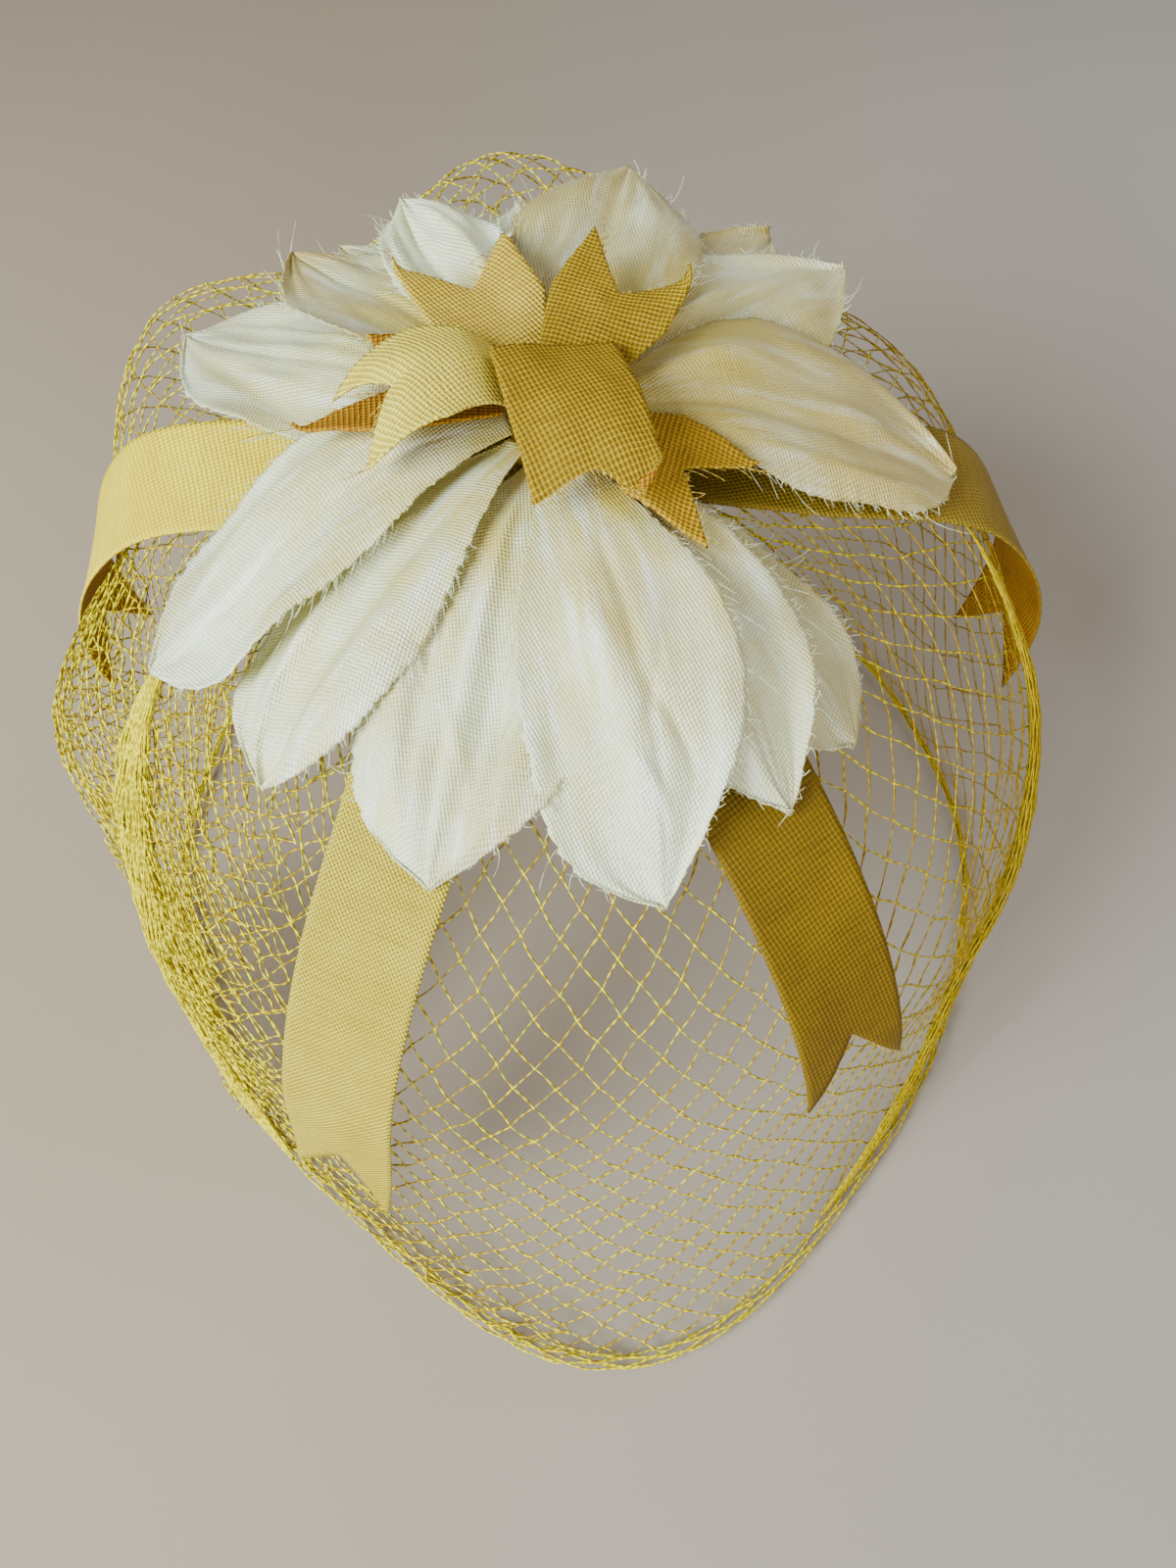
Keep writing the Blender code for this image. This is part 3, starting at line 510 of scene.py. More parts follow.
def weaveNet(threads, rand, window=None, lift=0.0, shift=0.0, radius=net["strand"], lean=net["lean"],
             start=net["start"], bend=net["bend"], squeeze=1.0, segments=4):
    azimuths, around = columnAzimuths(2 * net["columns"])
    azimuths = (azimuths + shift) % 360
    spacing = (np.roll(azimuths, -1) - np.roll(azimuths, 1)) % 360 / 2

    def drifted(azimuth, distance):
        past = np.maximum(0.0, distance - net["leanPast"])
        return azimuth + lean * np.sin(np.radians(azimuth - net["leanFrom"])) * past

    line = np.full(azimuths.shape, start, float)
    ends = surface.length(drifted(azimuths, 150))
    rows = [line]
    while np.any(line < ends + 8):
        here = drifted(azimuths, line)
        gap = surface.point(here + 0.5, line) - surface.point(here - 0.5, line)
        width = np.linalg.norm(gap, axis=1) / mm * spacing
        height = np.sqrt(np.maximum(net["cell"] ** 2 - width**2, net["leastRow"] ** 2))
        for _ in range(net["even"]):
            height = (np.roll(height, 1) + height + np.roll(height, -1)) / 3
        line = line + height * squeeze
        rows.append(line)
    knots = {}
    for j, line in enumerate(rows):
        for i, distance in enumerate(line):
            if (i + j) % 2:
                continue
            stray = net["loose"] * min(1.0, distance / 60)
            wobble = noise.noise_vector(Vector((i * 0.35, j * 0.35, shift))) * net["wander"]
            reach = max(12.0, min(distance, 100))
            azimuth = float(drifted(azimuths[i], distance))
            azimuth += math.degrees((rand.uniform(-stray, stray) + wobble.x) / reach)
            knots[i, j] = (azimuth, distance + rand.uniform(-stray, stray) + wobble.y)
    bars = 0
    for (i, j), here in knots.items():
        for side in (-1, 1):
            other = knots.get(((i + side) % len(azimuths), j + 1))
            if other is None:
                continue
            there = (here[0] + (other[0] - here[0] + 180) % 360 - 180, other[1])
            limit = float(surface.length(here[0])) - net["short"]
            if here[1] >= limit:
                continue
            if there[1] > limit:
                share = (limit - here[1]) / (there[1] - here[1])
                there = (here[0] + (there[0] - here[0]) * share, limit)
            if window and not (window(*here) and window(*there)):
                continue
            path, out = barPoints(here, there, lift, bend, segments, rand)
            # painted light: bars leaning one way get a high value (lighter), the other way a low one (darker)
            threads.add(path, out, radius, pitch=rand.uniform(1.8, 2.6), phase=rand.uniform(0, 3),
                        glow=0.5 + 0.4 * side + rand.uniform(-0.25, 0.25))
            bars += 1
        if here[1] < float(surface.length(here[0])) and (not window or window(*here)):
            out = surface.outward(here[0], here[1])
            threads.knot(surface.point(here[0], here[1]) + out * lift * mm, out, net["knot"])
    return bars, around


rand = random.Random(7)
noise.seed_set(7)  # noise_vector, which strays the knots, would differ from run to run without it
threads = Threads()
bars, around = weaveNet(threads, rand)
veilNet = threads.finish("veil_net_mesh", netYellow)
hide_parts("veil_net")
netFlat = (0.65, 0.15)
min(meshArea(veilNet), netFlat[0] * netFlat[1])
print("veil net woven:", bars, "bars round", round(around), "mm,", round(meshArea(veilNet), 4), "m2 of strand")


# collapsed net: long thin meshes wound on a roll, as at the hem and the tucks
def rollNet(threads, centres, acrossAxis, outAxis, halfWidth, halfDepth, columns, radius, rough, closed=False,
            shells=(1.0,), segments=3):
    centres = np.asarray(centres, float)
    gone = goneAlong(centres)
    rows = max(3, round(gone[-1] / mm / net["rolledCell"]))
    rows += rows % 2

    def spot(turn, share, scale):
        where = share * gone[-1]
        centre = np.array([np.interp(where, gone, centres[:, k]) for k in range(3)])
        across = np.array([np.interp(where, gone, acrossAxis[:, k]) for k in range(3)])
        out = np.array([np.interp(where, gone, outAxis[:, k]) for k in range(3)])
        swell = 1.0 if closed else math.sqrt(max(0.02, math.sin(math.pi * min(1, max(0, share)))))
        wide, deep = (np.interp(share, np.linspace(0, 1, len(h)), h) if np.ndim(h) else h
                      for h in (halfWidth, halfDepth))
        angle = 2 * math.pi * turn
        stray = 1 + rough * noise.noise(Vector((turn * 6, share * rows * 0.8, scale * 9)))
        place = centre + across * (math.cos(angle) * wide * scale * swell * stray * mm)
        place = place + out * (math.sin(angle) * deep * scale * swell * stray * mm)
        away = across * math.cos(angle) + out * math.sin(angle)
        return place, away

    for scale in shells:
        around = max(4, round(columns * scale))
        for j in range(rows):
            for i in range(2 * around):
                if (i + j) % 2:
                    continue
                for side in (-1, 1):
                    path, aways = [], []
                    for t in np.linspace(0, 1, segments + 1):
                        place, away = spot((i + side * t) / (2 * around), (j + t) / rows, scale)
                        path.append(place)
                        aways.append(away)
                    threads.add(path, np.array(aways), radius, pitch=rand.uniform(1.4, 2.0),
                                phase=rand.uniform(0, 3))


hem = {
    "strand": 0.24, "columns": 3, "raise": 0.35, "depth": 0.95, "rough": 0.3,
    # azimuth and half the thickness of the rolled edge there
    "turns": [(0, 0.6), (150, 0.55), (205, 0.9), (235, 1.35), (262, 1.25), (300, 1.2), (330, 0.7), (360, 0.55)],
}
turns = np.arange(0, 361, 3.0)
hemLine = surface.point(turns, surface.length(turns)) + np.array([0, 0, hem["raise"] * mm])
hemAcross = np.stack([np.cos(np.radians(turns)), np.sin(np.radians(turns)), 0 * turns], axis=-1)
hemUp = np.tile([0.0, 0.0, 1.0], (len(turns), 1))
threads = Threads()
hemHalf = np.interp(turns, *zip(*hem["turns"]))
rollNet(threads, hemLine, hemAcross, hemUp, hemHalf, hemHalf * hem["depth"], hem["columns"], hem["strand"],
        hem["rough"], True)
hemRoll = threads.finish("veil_hem_roll", hemYellow)
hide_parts("veil_hem")
min(0.014, meshArea(hemRoll))
print("hem rolled", round(meshArea(hemRoll), 4))


def creaseRoll(name, crease):
    path = np.array(crease["path"], float)
    fine = np.linspace(0, len(path) - 1, 8 * len(path))
    azimuth = np.interp(fine, np.arange(len(path)), path[:, 0])
    distance = np.interp(fine, np.arange(len(path)), path[:, 1])
    out = surface.outward(azimuth, distance)
    centres = surface.point(azimuth, distance) + out * crease["lift"] * mm
    along = np.gradient(centres, axis=0)
    across = unit(np.cross(along, out))
    threads = Threads()
    rollNet(threads, centres, across, out, crease["halfWidth"], crease["halfDepth"], crease["columns"],
            crease["strand"], 0.35, False, crease["shells"])
    made = threads.finish(name, hemYellow)
    return made


tuck = {
    "path": [(199, 78), (202, 88), (206, 102), (210, 117), (216, 131), (223, 146), (231, 157), (240, 163)],
    "halfWidth": [3.0, 4.4, 5.4, 6.0, 6.2, 5.8, 4.8, 3.0],
    "halfDepth": [1.4, 2.0, 2.4, 2.5, 2.4, 2.2, 1.8, 1.2],
    "lift": 2.9, "strand": 0.2, "columns": 20, "shells": (1.0, 0.9, 0.78, 0.6),
}
tuckRoll = creaseRoll("veil_tuck_roll", tuck)
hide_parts("veil_tuck")
min(0.0208, meshArea(tuckRoll))
print("tuck rolled", round(meshArea(tuckRoll), 4))


# more layers of the same net: bunched beside the roll, turned up in front and gathered on the left
folds = {
    # layer: from and to azimuth, inner and outer distance at each end (from the axis), lift, shift, lean, squeeze
    "layers": [
        (197, 240, (50, 60), (999, 999), 1.3, 2.3, -0.30, 0.62),
        (200, 236, (62, 76), (999, 999), 2.5, 4.1, 0.16, 0.50),
        (204, 232, (80, 96), (999, 999), 3.6, 1.1, -0.55, 0.45),
        (238, 276, (144, 177), (999, 999), 1.6, 3.3, -0.10, 0.60),
        (176, 204, (84, 72), (150, 120), 1.4, 0.9, -0.05, 0.42),
    ],
    "strand": 0.24, "bend": 0.6, "startAbove": 6, "segments": 3,
}


def foldWindow(start, stop, inner, outer):
    def inside(azimuth, distance):
        share = (azimuth % 360 - start) / (stop - start)
        if not 0 <= share <= 1:
            return False
        return inner[0] + (inner[1] - inner[0]) * share <= distance <= outer[0] + (outer[1] - outer[0]) * share
    return inside


threads = Threads()
for start, stop, inner, outer, lift, shift, lean, squeeze in folds["layers"]:
    weaveNet(threads, rand, foldWindow(start, stop, inner, outer), lift, shift, folds["strand"], lean,
             min(inner) - folds["startAbove"], folds["bend"], squeeze, folds["segments"])
veilFolds = threads.finish("veil_net_layers", netYellow)
layersFlat = (0.18, 0.12)
min(meshArea(veilFolds), layersFlat[0] * layersFlat[1])

sideFold = {  # the net folded down the right side
    "path": [(364, 84), (355, 100), (349, 115), (339, 126), (331, 141), (326, 156), (317, 164), (307, 167), (298, 170)],
    "halfWidth": [1.2, 2.0, 2.6, 2.8, 2.8, 2.6, 2.4, 2.0, 1.0],
    "halfDepth": [0.6, 0.9, 1.1, 1.2, 1.2, 1.1, 1.0, 0.9, 0.6],
    "lift": 1.2, "strand": 0.2, "columns": 9, "shells": (1.0, 0.7),
}
sideRoll = creaseRoll("veil_side_roll", sideFold)
min(0.0075, meshArea(sideRoll))
print("net folds laid", round(meshArea(veilFolds), 4), round(meshArea(sideRoll), 4))


def clothFromGrid(name, grid, weave, finishes, wall, marks):  # petals, bow tails and streamers
    rows, columns = grid.shape[:2]
    index = np.arange(rows * columns).reshape(rows, columns)
    quads = np.stack([index[:-1, :-1], index[1:, :-1], index[1:, 1:], index[:-1, 1:]], axis=-1).reshape(-1, 4)
    made = meshPiece(name, grid.reshape(-1, 3).tolist(), quads.tolist(), marks, finishes)
    cloth = made.data.attributes.new("weave", "FLOAT_VECTOR", "POINT")
    cloth.data.foreach_set("vector", weave.astype(np.float32).ravel())
    thick = made.modifiers.new("thickness", "SOLIDIFY")
    thick.thickness, thick.offset = wall * mm, 0.0
    thick.material_offset = min(1, len(finishes) - 1)
    return made


def flatSize(grid, ribbonWidth=None):  # width, length and area of the cloth before it was bent
    rowLengths = np.linalg.norm(np.diff(grid, axis=1), axis=2).sum(axis=1)
    columnLengths = np.linalg.norm(np.diff(grid, axis=0), axis=2).sum(axis=0)
    a, b = grid[1:, 1:] - grid[:-1, :-1], grid[1:, :-1] - grid[:-1, 1:]
    area = np.linalg.norm(np.cross(a, b), axis=2).sum() / 2
    if ribbonWidth is None:  # a petal, down its middle
        width, length = float(rowLengths.max()), float(columnLengths[len(columnLengths) // 2])
    else:
        width, length = ribbonWidth * mm, float(columnLengths.max())
    return (round(width, 4), round(length, 4)), float(min(area, width * length))


def heightsOf(node, plan):  # the middle of the CAD cloth over each point of a plan
    mesh = nodes[node].data
    tree = BVHTree.FromPolygons([v.co for v in mesh.vertices], [tuple(p.vertices) for p in mesh.polygons])
    rows, columns = plan.shape[:2]
    heights = np.full((rows, columns), np.nan)
    for j in range(rows):
        for k in range(columns):
            x, y = plan[j, k]
            top = tree.ray_cast(Vector((x, y, 0.3)), Vector((0, 0, -1)))[0]
            under = tree.ray_cast(Vector((x, y, 0.0)), Vector((0, 0, 1)))[0]
            if top is not None and under is not None:
                heights[j, k] = (top.z + under.z) / 2
    middle = columns // 2
    for j in range(rows):
        if np.isnan(heights[j, middle]):
            heights[j, middle] = heights[j - 1, middle] if j else np.nanmean(heights[:3])
        for k in list(range(middle + 1, columns)) + list(range(middle - 1, -1, -1)):
            if np.isnan(heights[j, k]):
                heights[j, k] = heights[j, k - 1] if k > middle else heights[j, k + 1]
    return heights


def melt(heights, passes):  # rounds off the facets and keeps the slopes at the rim
    for _ in range(passes):
        wide = np.pad(heights, 1, mode="reflect", reflect_type="odd")
        heights = (wide[1:-1, 1:-1] * 4 + wide[:-2, 1:-1] + wide[2:, 1:-1] + wide[1:-1, :-2] + wide[1:-1, 2:]) / 8
    return heights


def ripple(along, across, pitch, sideways, shift):  # soft unevenness over the cloth
    return np.vectorize(lambda a, c: noise.noise(Vector((a * pitch, c * sideways, shift))))(along, across)


def creaseDepth(along, across, creases):  # each crease: from, to, depth and width, in shares of the piece
    depth = np.zeros_like(along)
    for a0, c0, a1, c1, deep, wide in creases:
        da, dc = a1 - a0, c1 - c0
        t = np.clip(((along - a0) * da + (across - c0) * dc) / (da * da + dc * dc), 0, 1)
        away = np.hypot(along - a0 - da * t, (across - c0 - dc * t) * 0.45)
        depth += deep * np.exp(-(away / wide) ** 2) * np.sin(math.pi * np.clip(t * 0.9 + 0.05, 0, 1)) ** 0.5
    return depth


petals = {
    "start": 6.75, "baseWidth": 4.4, "widest": 0.62, "wall": 0.32, "rows": 104, "columns": 42, "threads": 120,
    "melt": 46, "patternStep": 17.0,
    # name, azimuth, tip reach, width, roll, sway, painted warm shade, (fuller left, right), (blunter left, right),
    # pleats, creases
    "table": [
        ("petal_01", 287, 76, 36, 4, -2, 0.10, (1.0, 1.06), (4.5, 2.0), (1.2, 1.9, 0.4),
         [(0.30, 0.10, 0.95, 0.16, -0.9, 0.03), (0.42, -0.2, 0.82, -0.05, 0.8, 0.05),
          (0.62, 0.15, 0.80, 0.55, -1.0, 0.02), (0.70, -0.25, 0.88, 0.30, 0.9, 0.022),
          (0.55, 0.35, 0.72, 0.02, -0.7, 0.02), (0.80, -0.5, 0.96, 0.0, 0.6, 0.03)]),
        ("petal_02", 252, 74, 37, -6, 3, 0.10, (0.92, 1.1), (4.5, 2.4), (1.7, 1.5, 2.2),
         [(0.15, 0.0, 0.97, 0.05, 1.6, 0.045), (0.3, -0.45, 0.85, -0.4, -1.2, 0.05), (0.55, 0.3, 0.85, 0.5, -0.8, 0.03),
          (0.62, -0.2, 0.8, 0.25, 0.5, 0.02)]),
        ("petal_03", 225, 73, 32, -4, 3, 0.0, (1.12, 0.82), (5.0, 2.4), (1.3, 1.8, 3.0),
         [(0.35, -0.35, 1.0, -0.45, 1.8, 0.04), (0.3, 0.15, 0.9, 0.1, -0.9, 0.05),
          (0.60, -0.75, 0.97, -0.8, -0.9, 0.03), (0.5, 0.5, 0.8, 0.3, 0.6, 0.03)]),
        ("petal_04", 199, 78, 33, 6, 6, 0.0, (1.1, 0.88), (3.2, 5.0), (1.0, 1.6, 1.1),
         [(0.15, 0.0, 0.92, 0.2, -0.9, 0.035), (0.4, 0.5, 0.85, 0.6, 0.7, 0.05), (0.5, -0.6, 0.85, -0.3, 0.6, 0.06)]),
        ("petal_05", 158, 79, 36, 8, -4, 0.2, (1.0, 1.0), (3.0, 3.0), (1.0, 1.7, 0.0),
         [(0.2, 0.0, 0.95, 0.1, -0.9, 0.03), (0.5, 0.4, 0.9, 0.3, 0.9, 0.05), (0.45, -0.3, 0.85, -0.5, 0.9, 0.04)]),
        ("petal_06", 132, 72, 30, 14, 4, 0.75, (1.0, 1.0), (2.0, 2.4), (0.6, 1.4, 0.7),
         [(0.2, 0.0, 0.95, 0.0, -0.7, 0.03)]),
        ("petal_07", 126, 75, 28, -6, 0, 0.5, (1.0, 1.0), (2.2, 2.2), (0.4, 1.4, 0.7),
         [(0.2, 0.0, 0.95, 0.0, -0.5, 0.03)]),
        ("petal_08", 114, 64, 24, -16, 4, 0.0, (1.0, 1.0), (2.6, 2.6), (0.8, 1.6, 2.0),
         [(0.25, 0.1, 1.0, 0.25, -1.6, 0.05), (0.3, -0.35, 0.9, -0.3, 1.1, 0.05), (0.5, 0.6, 0.9, 0.7, 0.8, 0.04)]),
        ("petal_09", 97, 64, 28, 8, 0, 0.2, (1.0, 1.0), (2.3, 2.3), (0.5, 1.4, 1.0),
         [(0.2, 0.0, 0.95, 0.0, -0.6, 0.03)]),
        ("petal_10", 78, 74, 38, -4, 0, 0.7, (1.0, 1.0), (2.6, 2.6), (0.9, 1.5, 2.6),
         [(0.2, 0.0, 0.95, 0.05, -0.8, 0.04), (0.4, 0.4, 0.85, 0.3, 0.8, 0.07), (0.5, -0.5, 0.9, -0.4, 0.6, 0.05)]),
        ("petal_11", 48, 79, 32, 12, -7, 0.5, (1.0, 1.0), (2.0, 2.2), (1.1, 1.7, 0.5),
         [(0.15, 0.0, 0.95, 0.0, -1.0, 0.04), (0.3, 0.35, 0.8, 0.25, 0.9, 0.05), (0.35, -0.4, 0.8, -0.3, 0.9, 0.05)]),
        ("petal_12", 54, 80, 32, -4, 2, 0.7, (1.0, 1.0), (2.2, 2.2), (0.5, 1.5, 1.5),
         [(0.2, 0.0, 0.95, 0.0, -0.6, 0.03)]),
        ("petal_13", 21, 78, 36, 6, -16, 1.0, (0.85, 1.15), (4.5, 2.2), (1.3, 1.3, 2.8),
         [(0.10, -0.1, 0.75, -0.2, -1.3, 0.06), (0.15, 0.5, 0.7, 0.35, 1.3, 0.08), (0.35, -0.7, 0.85, -0.75, 0.7, 0.04),
          (0.5, 0.2, 0.95, 0.0, 0.5, 0.05)]),
        ("petal_14", 305, 72, 30, -6, 0, 0.25, (1.0, 1.15), (2.0, 2.2), (1.6, 1.6, 1.2),
         [(0.2, 0.1, 0.95, -0.1, -1.2, 0.04), (0.25, -0.5, 0.75, 0.5, 1.3, 0.05), (0.55, 0.3, 0.9, 0.1, -0.7, 0.03)]),
        ("petal_15", 317, 70, 30, -4, 4, 0.6, (1.0, 1.0), (4.0, 4.0), (0.8, 1.5, 0.2),
         [(0.2, 0.0, 0.95, 0.0, -0.8, 0.04), (0.5, 0.4, 0.9, 0.2, 0.7, 0.03)]),
    ],
}


def directionOf(azimuth):
    angle = np.radians(azimuth)
    return np.stack([np.cos(angle), np.sin(angle)], axis=-1)


def petalHalfWidth(width, along, across, fuller, blunter):
    widest, base = petals["widest"], petals["baseWidth"] / width
    left = across < 0
    rising = base + (1 - base) * np.sin(math.pi / 2 * np.minimum(along / widest, 1)) ** 1.25
    falling = 1 - np.maximum(0, (along - widest) / (1 - widest)) ** np.where(left, blunter[0], blunter[1])
    share = np.where(along < widest, rising, falling) * np.where(left, fuller[0], fuller[1])
    return np.maximum(share, 0.02) * width / 2


frayed = {
    # how far a loose thread reaches, the share of the edge before the first one, half its width
    "silk": ((0.6, 2.0), 0.3, 0.1), "ribbon": ((0.5, 1.8), 0.0, 0.11),
    "longShare": 0.10, "longReach": (2.5, 6.0),
}


def fray(grid, threads, count, ragged, kind, sides):
    reach, first, radius = frayed[kind]
    steps, columns = grid.shape[0] - 1, grid.shape[1] - 1
    for _ in range(count):  # a loose thread along the cut edge
        j = ragged.integers(int(steps * first), steps)
        k = sides[ragged.integers(0, len(sides))] * columns
        inner = 1 if k == 0 else columns - 1
        edge, away = grid[j, k], unit(grid[j, k] - grid[j, inner])
        on = unit(grid[min(j + 1, steps), k] - grid[max(j - 1, 0), k])
        far = ragged.uniform(*(reach if ragged.random() > frayed["longShare"] else frayed["longReach"]))
        bend = ragged.uniform(-0.8, 1.2)
        up = np.array([0, 0, ragged.uniform(-0.3, 0.6)])
        t = np.linspace(0, 1, 5)[:, None]
        path = edge - away * 0.3 * mm + (away * t + on * (t * 0.5 + bend * t * t) + up * t * t) * far * mm
        threads.add(path, (0, 0, 1), radius, flat=1.0, sides=3, taper=0.5)


def layOut(start, ahead, beside, along, length, aside, roll):  # a strip seen from above, narrower where it rolls
    tilt = np.radians(roll) * np.minimum(1, along * 1.6)
    return start + (ahead * (along * length)[..., None] + beside * (aside * np.cos(tilt))[..., None]) * mm


def growPetal(row, seed, fringe):
    name, azimuth, tipReach, width, roll, sway, paintedShade, fuller, blunter, pleats, creases = row
    steps, columns = petals["rows"], petals["columns"]
    along, across = np.meshgrid(np.linspace(0, 1, steps + 1), np.linspace(-1, 1, columns + 1), indexing="ij")
    length = tipReach - petals["start"]
    heading = azimuth + sway * along
    ahead = directionOf(heading)
    beside = np.stack([-ahead[..., 1], ahead[..., 0]], axis=-1)
    half = petalHalfWidth(width, along, across, fuller, blunter)
    ragged = np.random.default_rng(seed)
    nick = ragged.uniform(-0.45, 0.3, (steps + 1, 2)) * np.clip(along[:, :1] * 4, 0, 1)
    half = half + np.where(across < 0, nick[:, :1], nick[:, 1:]) * np.abs(across) ** 8
    aside = across * half
    start = flowerAxis[:2] + directionOf(azimuth) * petals["start"] * mm
    plan = layOut(start, ahead, beside, along, length, aside, roll)
    heights = melt(heightsOf(name, plan), petals["melt"])
    free = np.clip((along - 0.2) / 0.45, 0, 1)
    wave = ripple(along, across, 3.2, 1.6, seed * 3.7)
    fine = ripple(along, across, 9, 5, seed * 7.1)
    flutter = np.sin(along * 15 + seed) * across**4 * np.sign(across)
    high, count, phase = pleats
    pleat = high * np.cos(math.pi * count * across + phase + wave * 1.5) * np.clip((1 - along) * 6, 0, 1)
    lift = creaseDepth(along, across, creases) * np.clip(along * 3, 0, 1)
    lift = lift + (wave * 1.7 + pleat + fine * 0.5 + flutter * 0.8) * free
    grid = np.dstack([plan, heights + lift * mm])
    smooth = np.dstack([plan, heights])
    weave = np.dstack([aside, along * length, np.full_like(along, seed * petals["patternStep"])])
    # the heart is the silk's own yellow near the base, deepened as painted shade where the bow covers the core
    heart = np.clip(np.clip(1 - along / 0.8, 0, 1) ** 0.9 + 0.3 * wave, 0, 1)
    # painted shade: the warm share grows on petals turned from the key lamp and towards the tips
    shadeShare = np.clip(paintedShade + 0.5 * wave + 0.35 * np.clip(along - 0.75, 0, 1) * 4 * (0.5 + fine), 0, 1)
    made = clothFromGrid(name + "_silk", grid, weave, [silk], petals["wall"], {"heart": heart, "paintedShade": shadeShare})
    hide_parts(name)
    flat, area = flatSize(smooth)
    fray(grid, fringe, petals["threads"], ragged, "silk", (0, 1))


fringe = Threads()
for order, row in enumerate(petals["table"]):
    growPetal(row, order + 1, fringe)
petalThreads = fringe.finish("petal_loose_threads", silk)
print("petals grown:", len(petals["table"]))


tails = {
    "width": 22.5, "wall": 0.5, "rows": 40, "columns": 24, "threads": 46, "curl": 2.2, "melt": 16,
    "patternStep": 23.0, "seedFrom": 50,
    # name, start x and y, heading, length, base width, roll, skew, notch, arch,
    # corner that curls (side, size), finish above and below
    "table": [
        ("bow_tail_left_low", -7, 0.6, 173, 35, 7, -6, 9, 11, 0.0, (1, 3), shadeOrange, gold),
        ("bow_tail_back_left", -3.4, 6.4, 118, 33, 8, 0, 0, 11, 0.5, (1, 3), litPaleGold, shadeOrange),
        ("bow_tail_back", 4.2, 6.6, 63, 31, 13, -4, 4, 11, 0.5, (-1, 4), shadedGold, shadeOrange),
        ("bow_tail_right", 6.8, -2.8, 333, 28, 8, 6, 0, 10, 0.0, (1, 2), gold, shadeOrange),
        ("bow_tail_left", -7.2, 3, 199, 28, 13, 4, 0, 9, 1.5, (1, 4), litGold, shadeOrange),
        ("bow_tail_front", 1, 7, 286, 35.5, 22, -8, 7, 5.5, 0.5, (1, 8), shadedGold, shadeOrange),
    ],
}


def foldTail(row, seed, fringe):
    name, startX, startY, headingAt, length, baseWidth, roll, skew, notch, arch, corner, top, below = row
    steps, columns = tails["rows"], tails["columns"]
    share, across = np.meshgrid(np.linspace(0, 1, steps + 1), np.linspace(-1, 1, columns + 1), indexing="ij")
    cut = notch * (1 - np.abs(across)) + skew * (1 - across) / 2
    along = (1 - cut / length) * share
    half = (baseWidth + (tails["width"] - baseWidth) * np.minimum(1, along * 2.2)) / 2
    ahead = directionOf(np.float64(headingAt))
    beside = np.array([-ahead[1], ahead[0]])
    ragged = np.random.default_rng(seed + tails["seedFrom"])
    nick = ragged.uniform(-0.12, 0.12, (steps + 1, 2))
    aside = across * half + np.where(across < 0, nick[:, :1], nick[:, 1:]) * np.abs(across) ** 10
    start = flowerAxis[:2] + np.array([startX, startY]) * mm
    plan = layOut(start, ahead, beside, along, length, aside, roll)
    heights = melt(heightsOf(name, plan), tails["melt"])
    wave = ripple(share, across, 3, 1.4, seed * 5.1)
    lift = wave * 0.8 * share + np.abs(across) ** 3 * 0.6 * share**2 + arch * np.sin(math.pi * share)
    grid = np.dstack([plan, heights + lift * mm])
    side, size = corner
    reach = half + length - np.abs(skew * (side < 0))
    past = np.maximum(0, (side * aside + along * length - reach + size * 1.4) / 1.41)
    turn = past / tails["curl"]
    slant = (ahead + side * beside) / math.sqrt(2)
    grid[..., :2] += slant * ((tails["curl"] * np.sin(turn) - past) * mm)[..., None]
    grid[..., 2] += tails["curl"] * (1 - np.cos(turn)) * mm
    weave = np.dstack([aside, along * length, np.full_like(along, seed * tails["patternStep"])])
    rim = np.clip((np.abs(across) - 0.94) * 16, 0, 1) + np.clip((share - 0.97) * 33, 0, 1)
    made = clothFromGrid(name + "_ribbon", grid, weave, [top, below], tails["wall"], {"rim": np.clip(rim, 0, 1)})
    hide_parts(name)
    flat, area = flatSize(np.dstack([plan, heights]), tails["width"])
    fray(grid.swapaxes(0, 1), fringe, tails["threads"], ragged, "ribbon", (1,))


ribbonFringe = Threads()
for order, row in enumerate(tails["table"]):
    foldTail(row, order + 1, ribbonFringe)
print("bow tails folded:", len(tails["table"]))


streamers = {
    "width": 22.5, "notch": 14.0, "pitch": 1.85, "seat": 1.8, "crossing": 32.0, "level": 16, "wall": 0.45,
    "columns": 20, "steps": 62, "threads": 60, "patternStep": 31.0, "seedFrom": 80,
    # name, layer, then azimuth, length, lift, kick and roll of the front and the back end, and the finish of each
    "table": [
        ("streamer_side", 0, (173, 136, 2.6, 2, 5), (9, 142, 2.4, 2, -4), litLemon, shadedOlive),
        ("streamer_right", 1, (303, 132, 2, 2, 0), (122, 62, 2.4, 2.6, 0), shadedOchre, shadedOchre),
        ("streamer_left", 2, (248, 155, 2, 3, 0), (66, 64, 2, 2, 0), litStraw, litStraw),
    ],
}


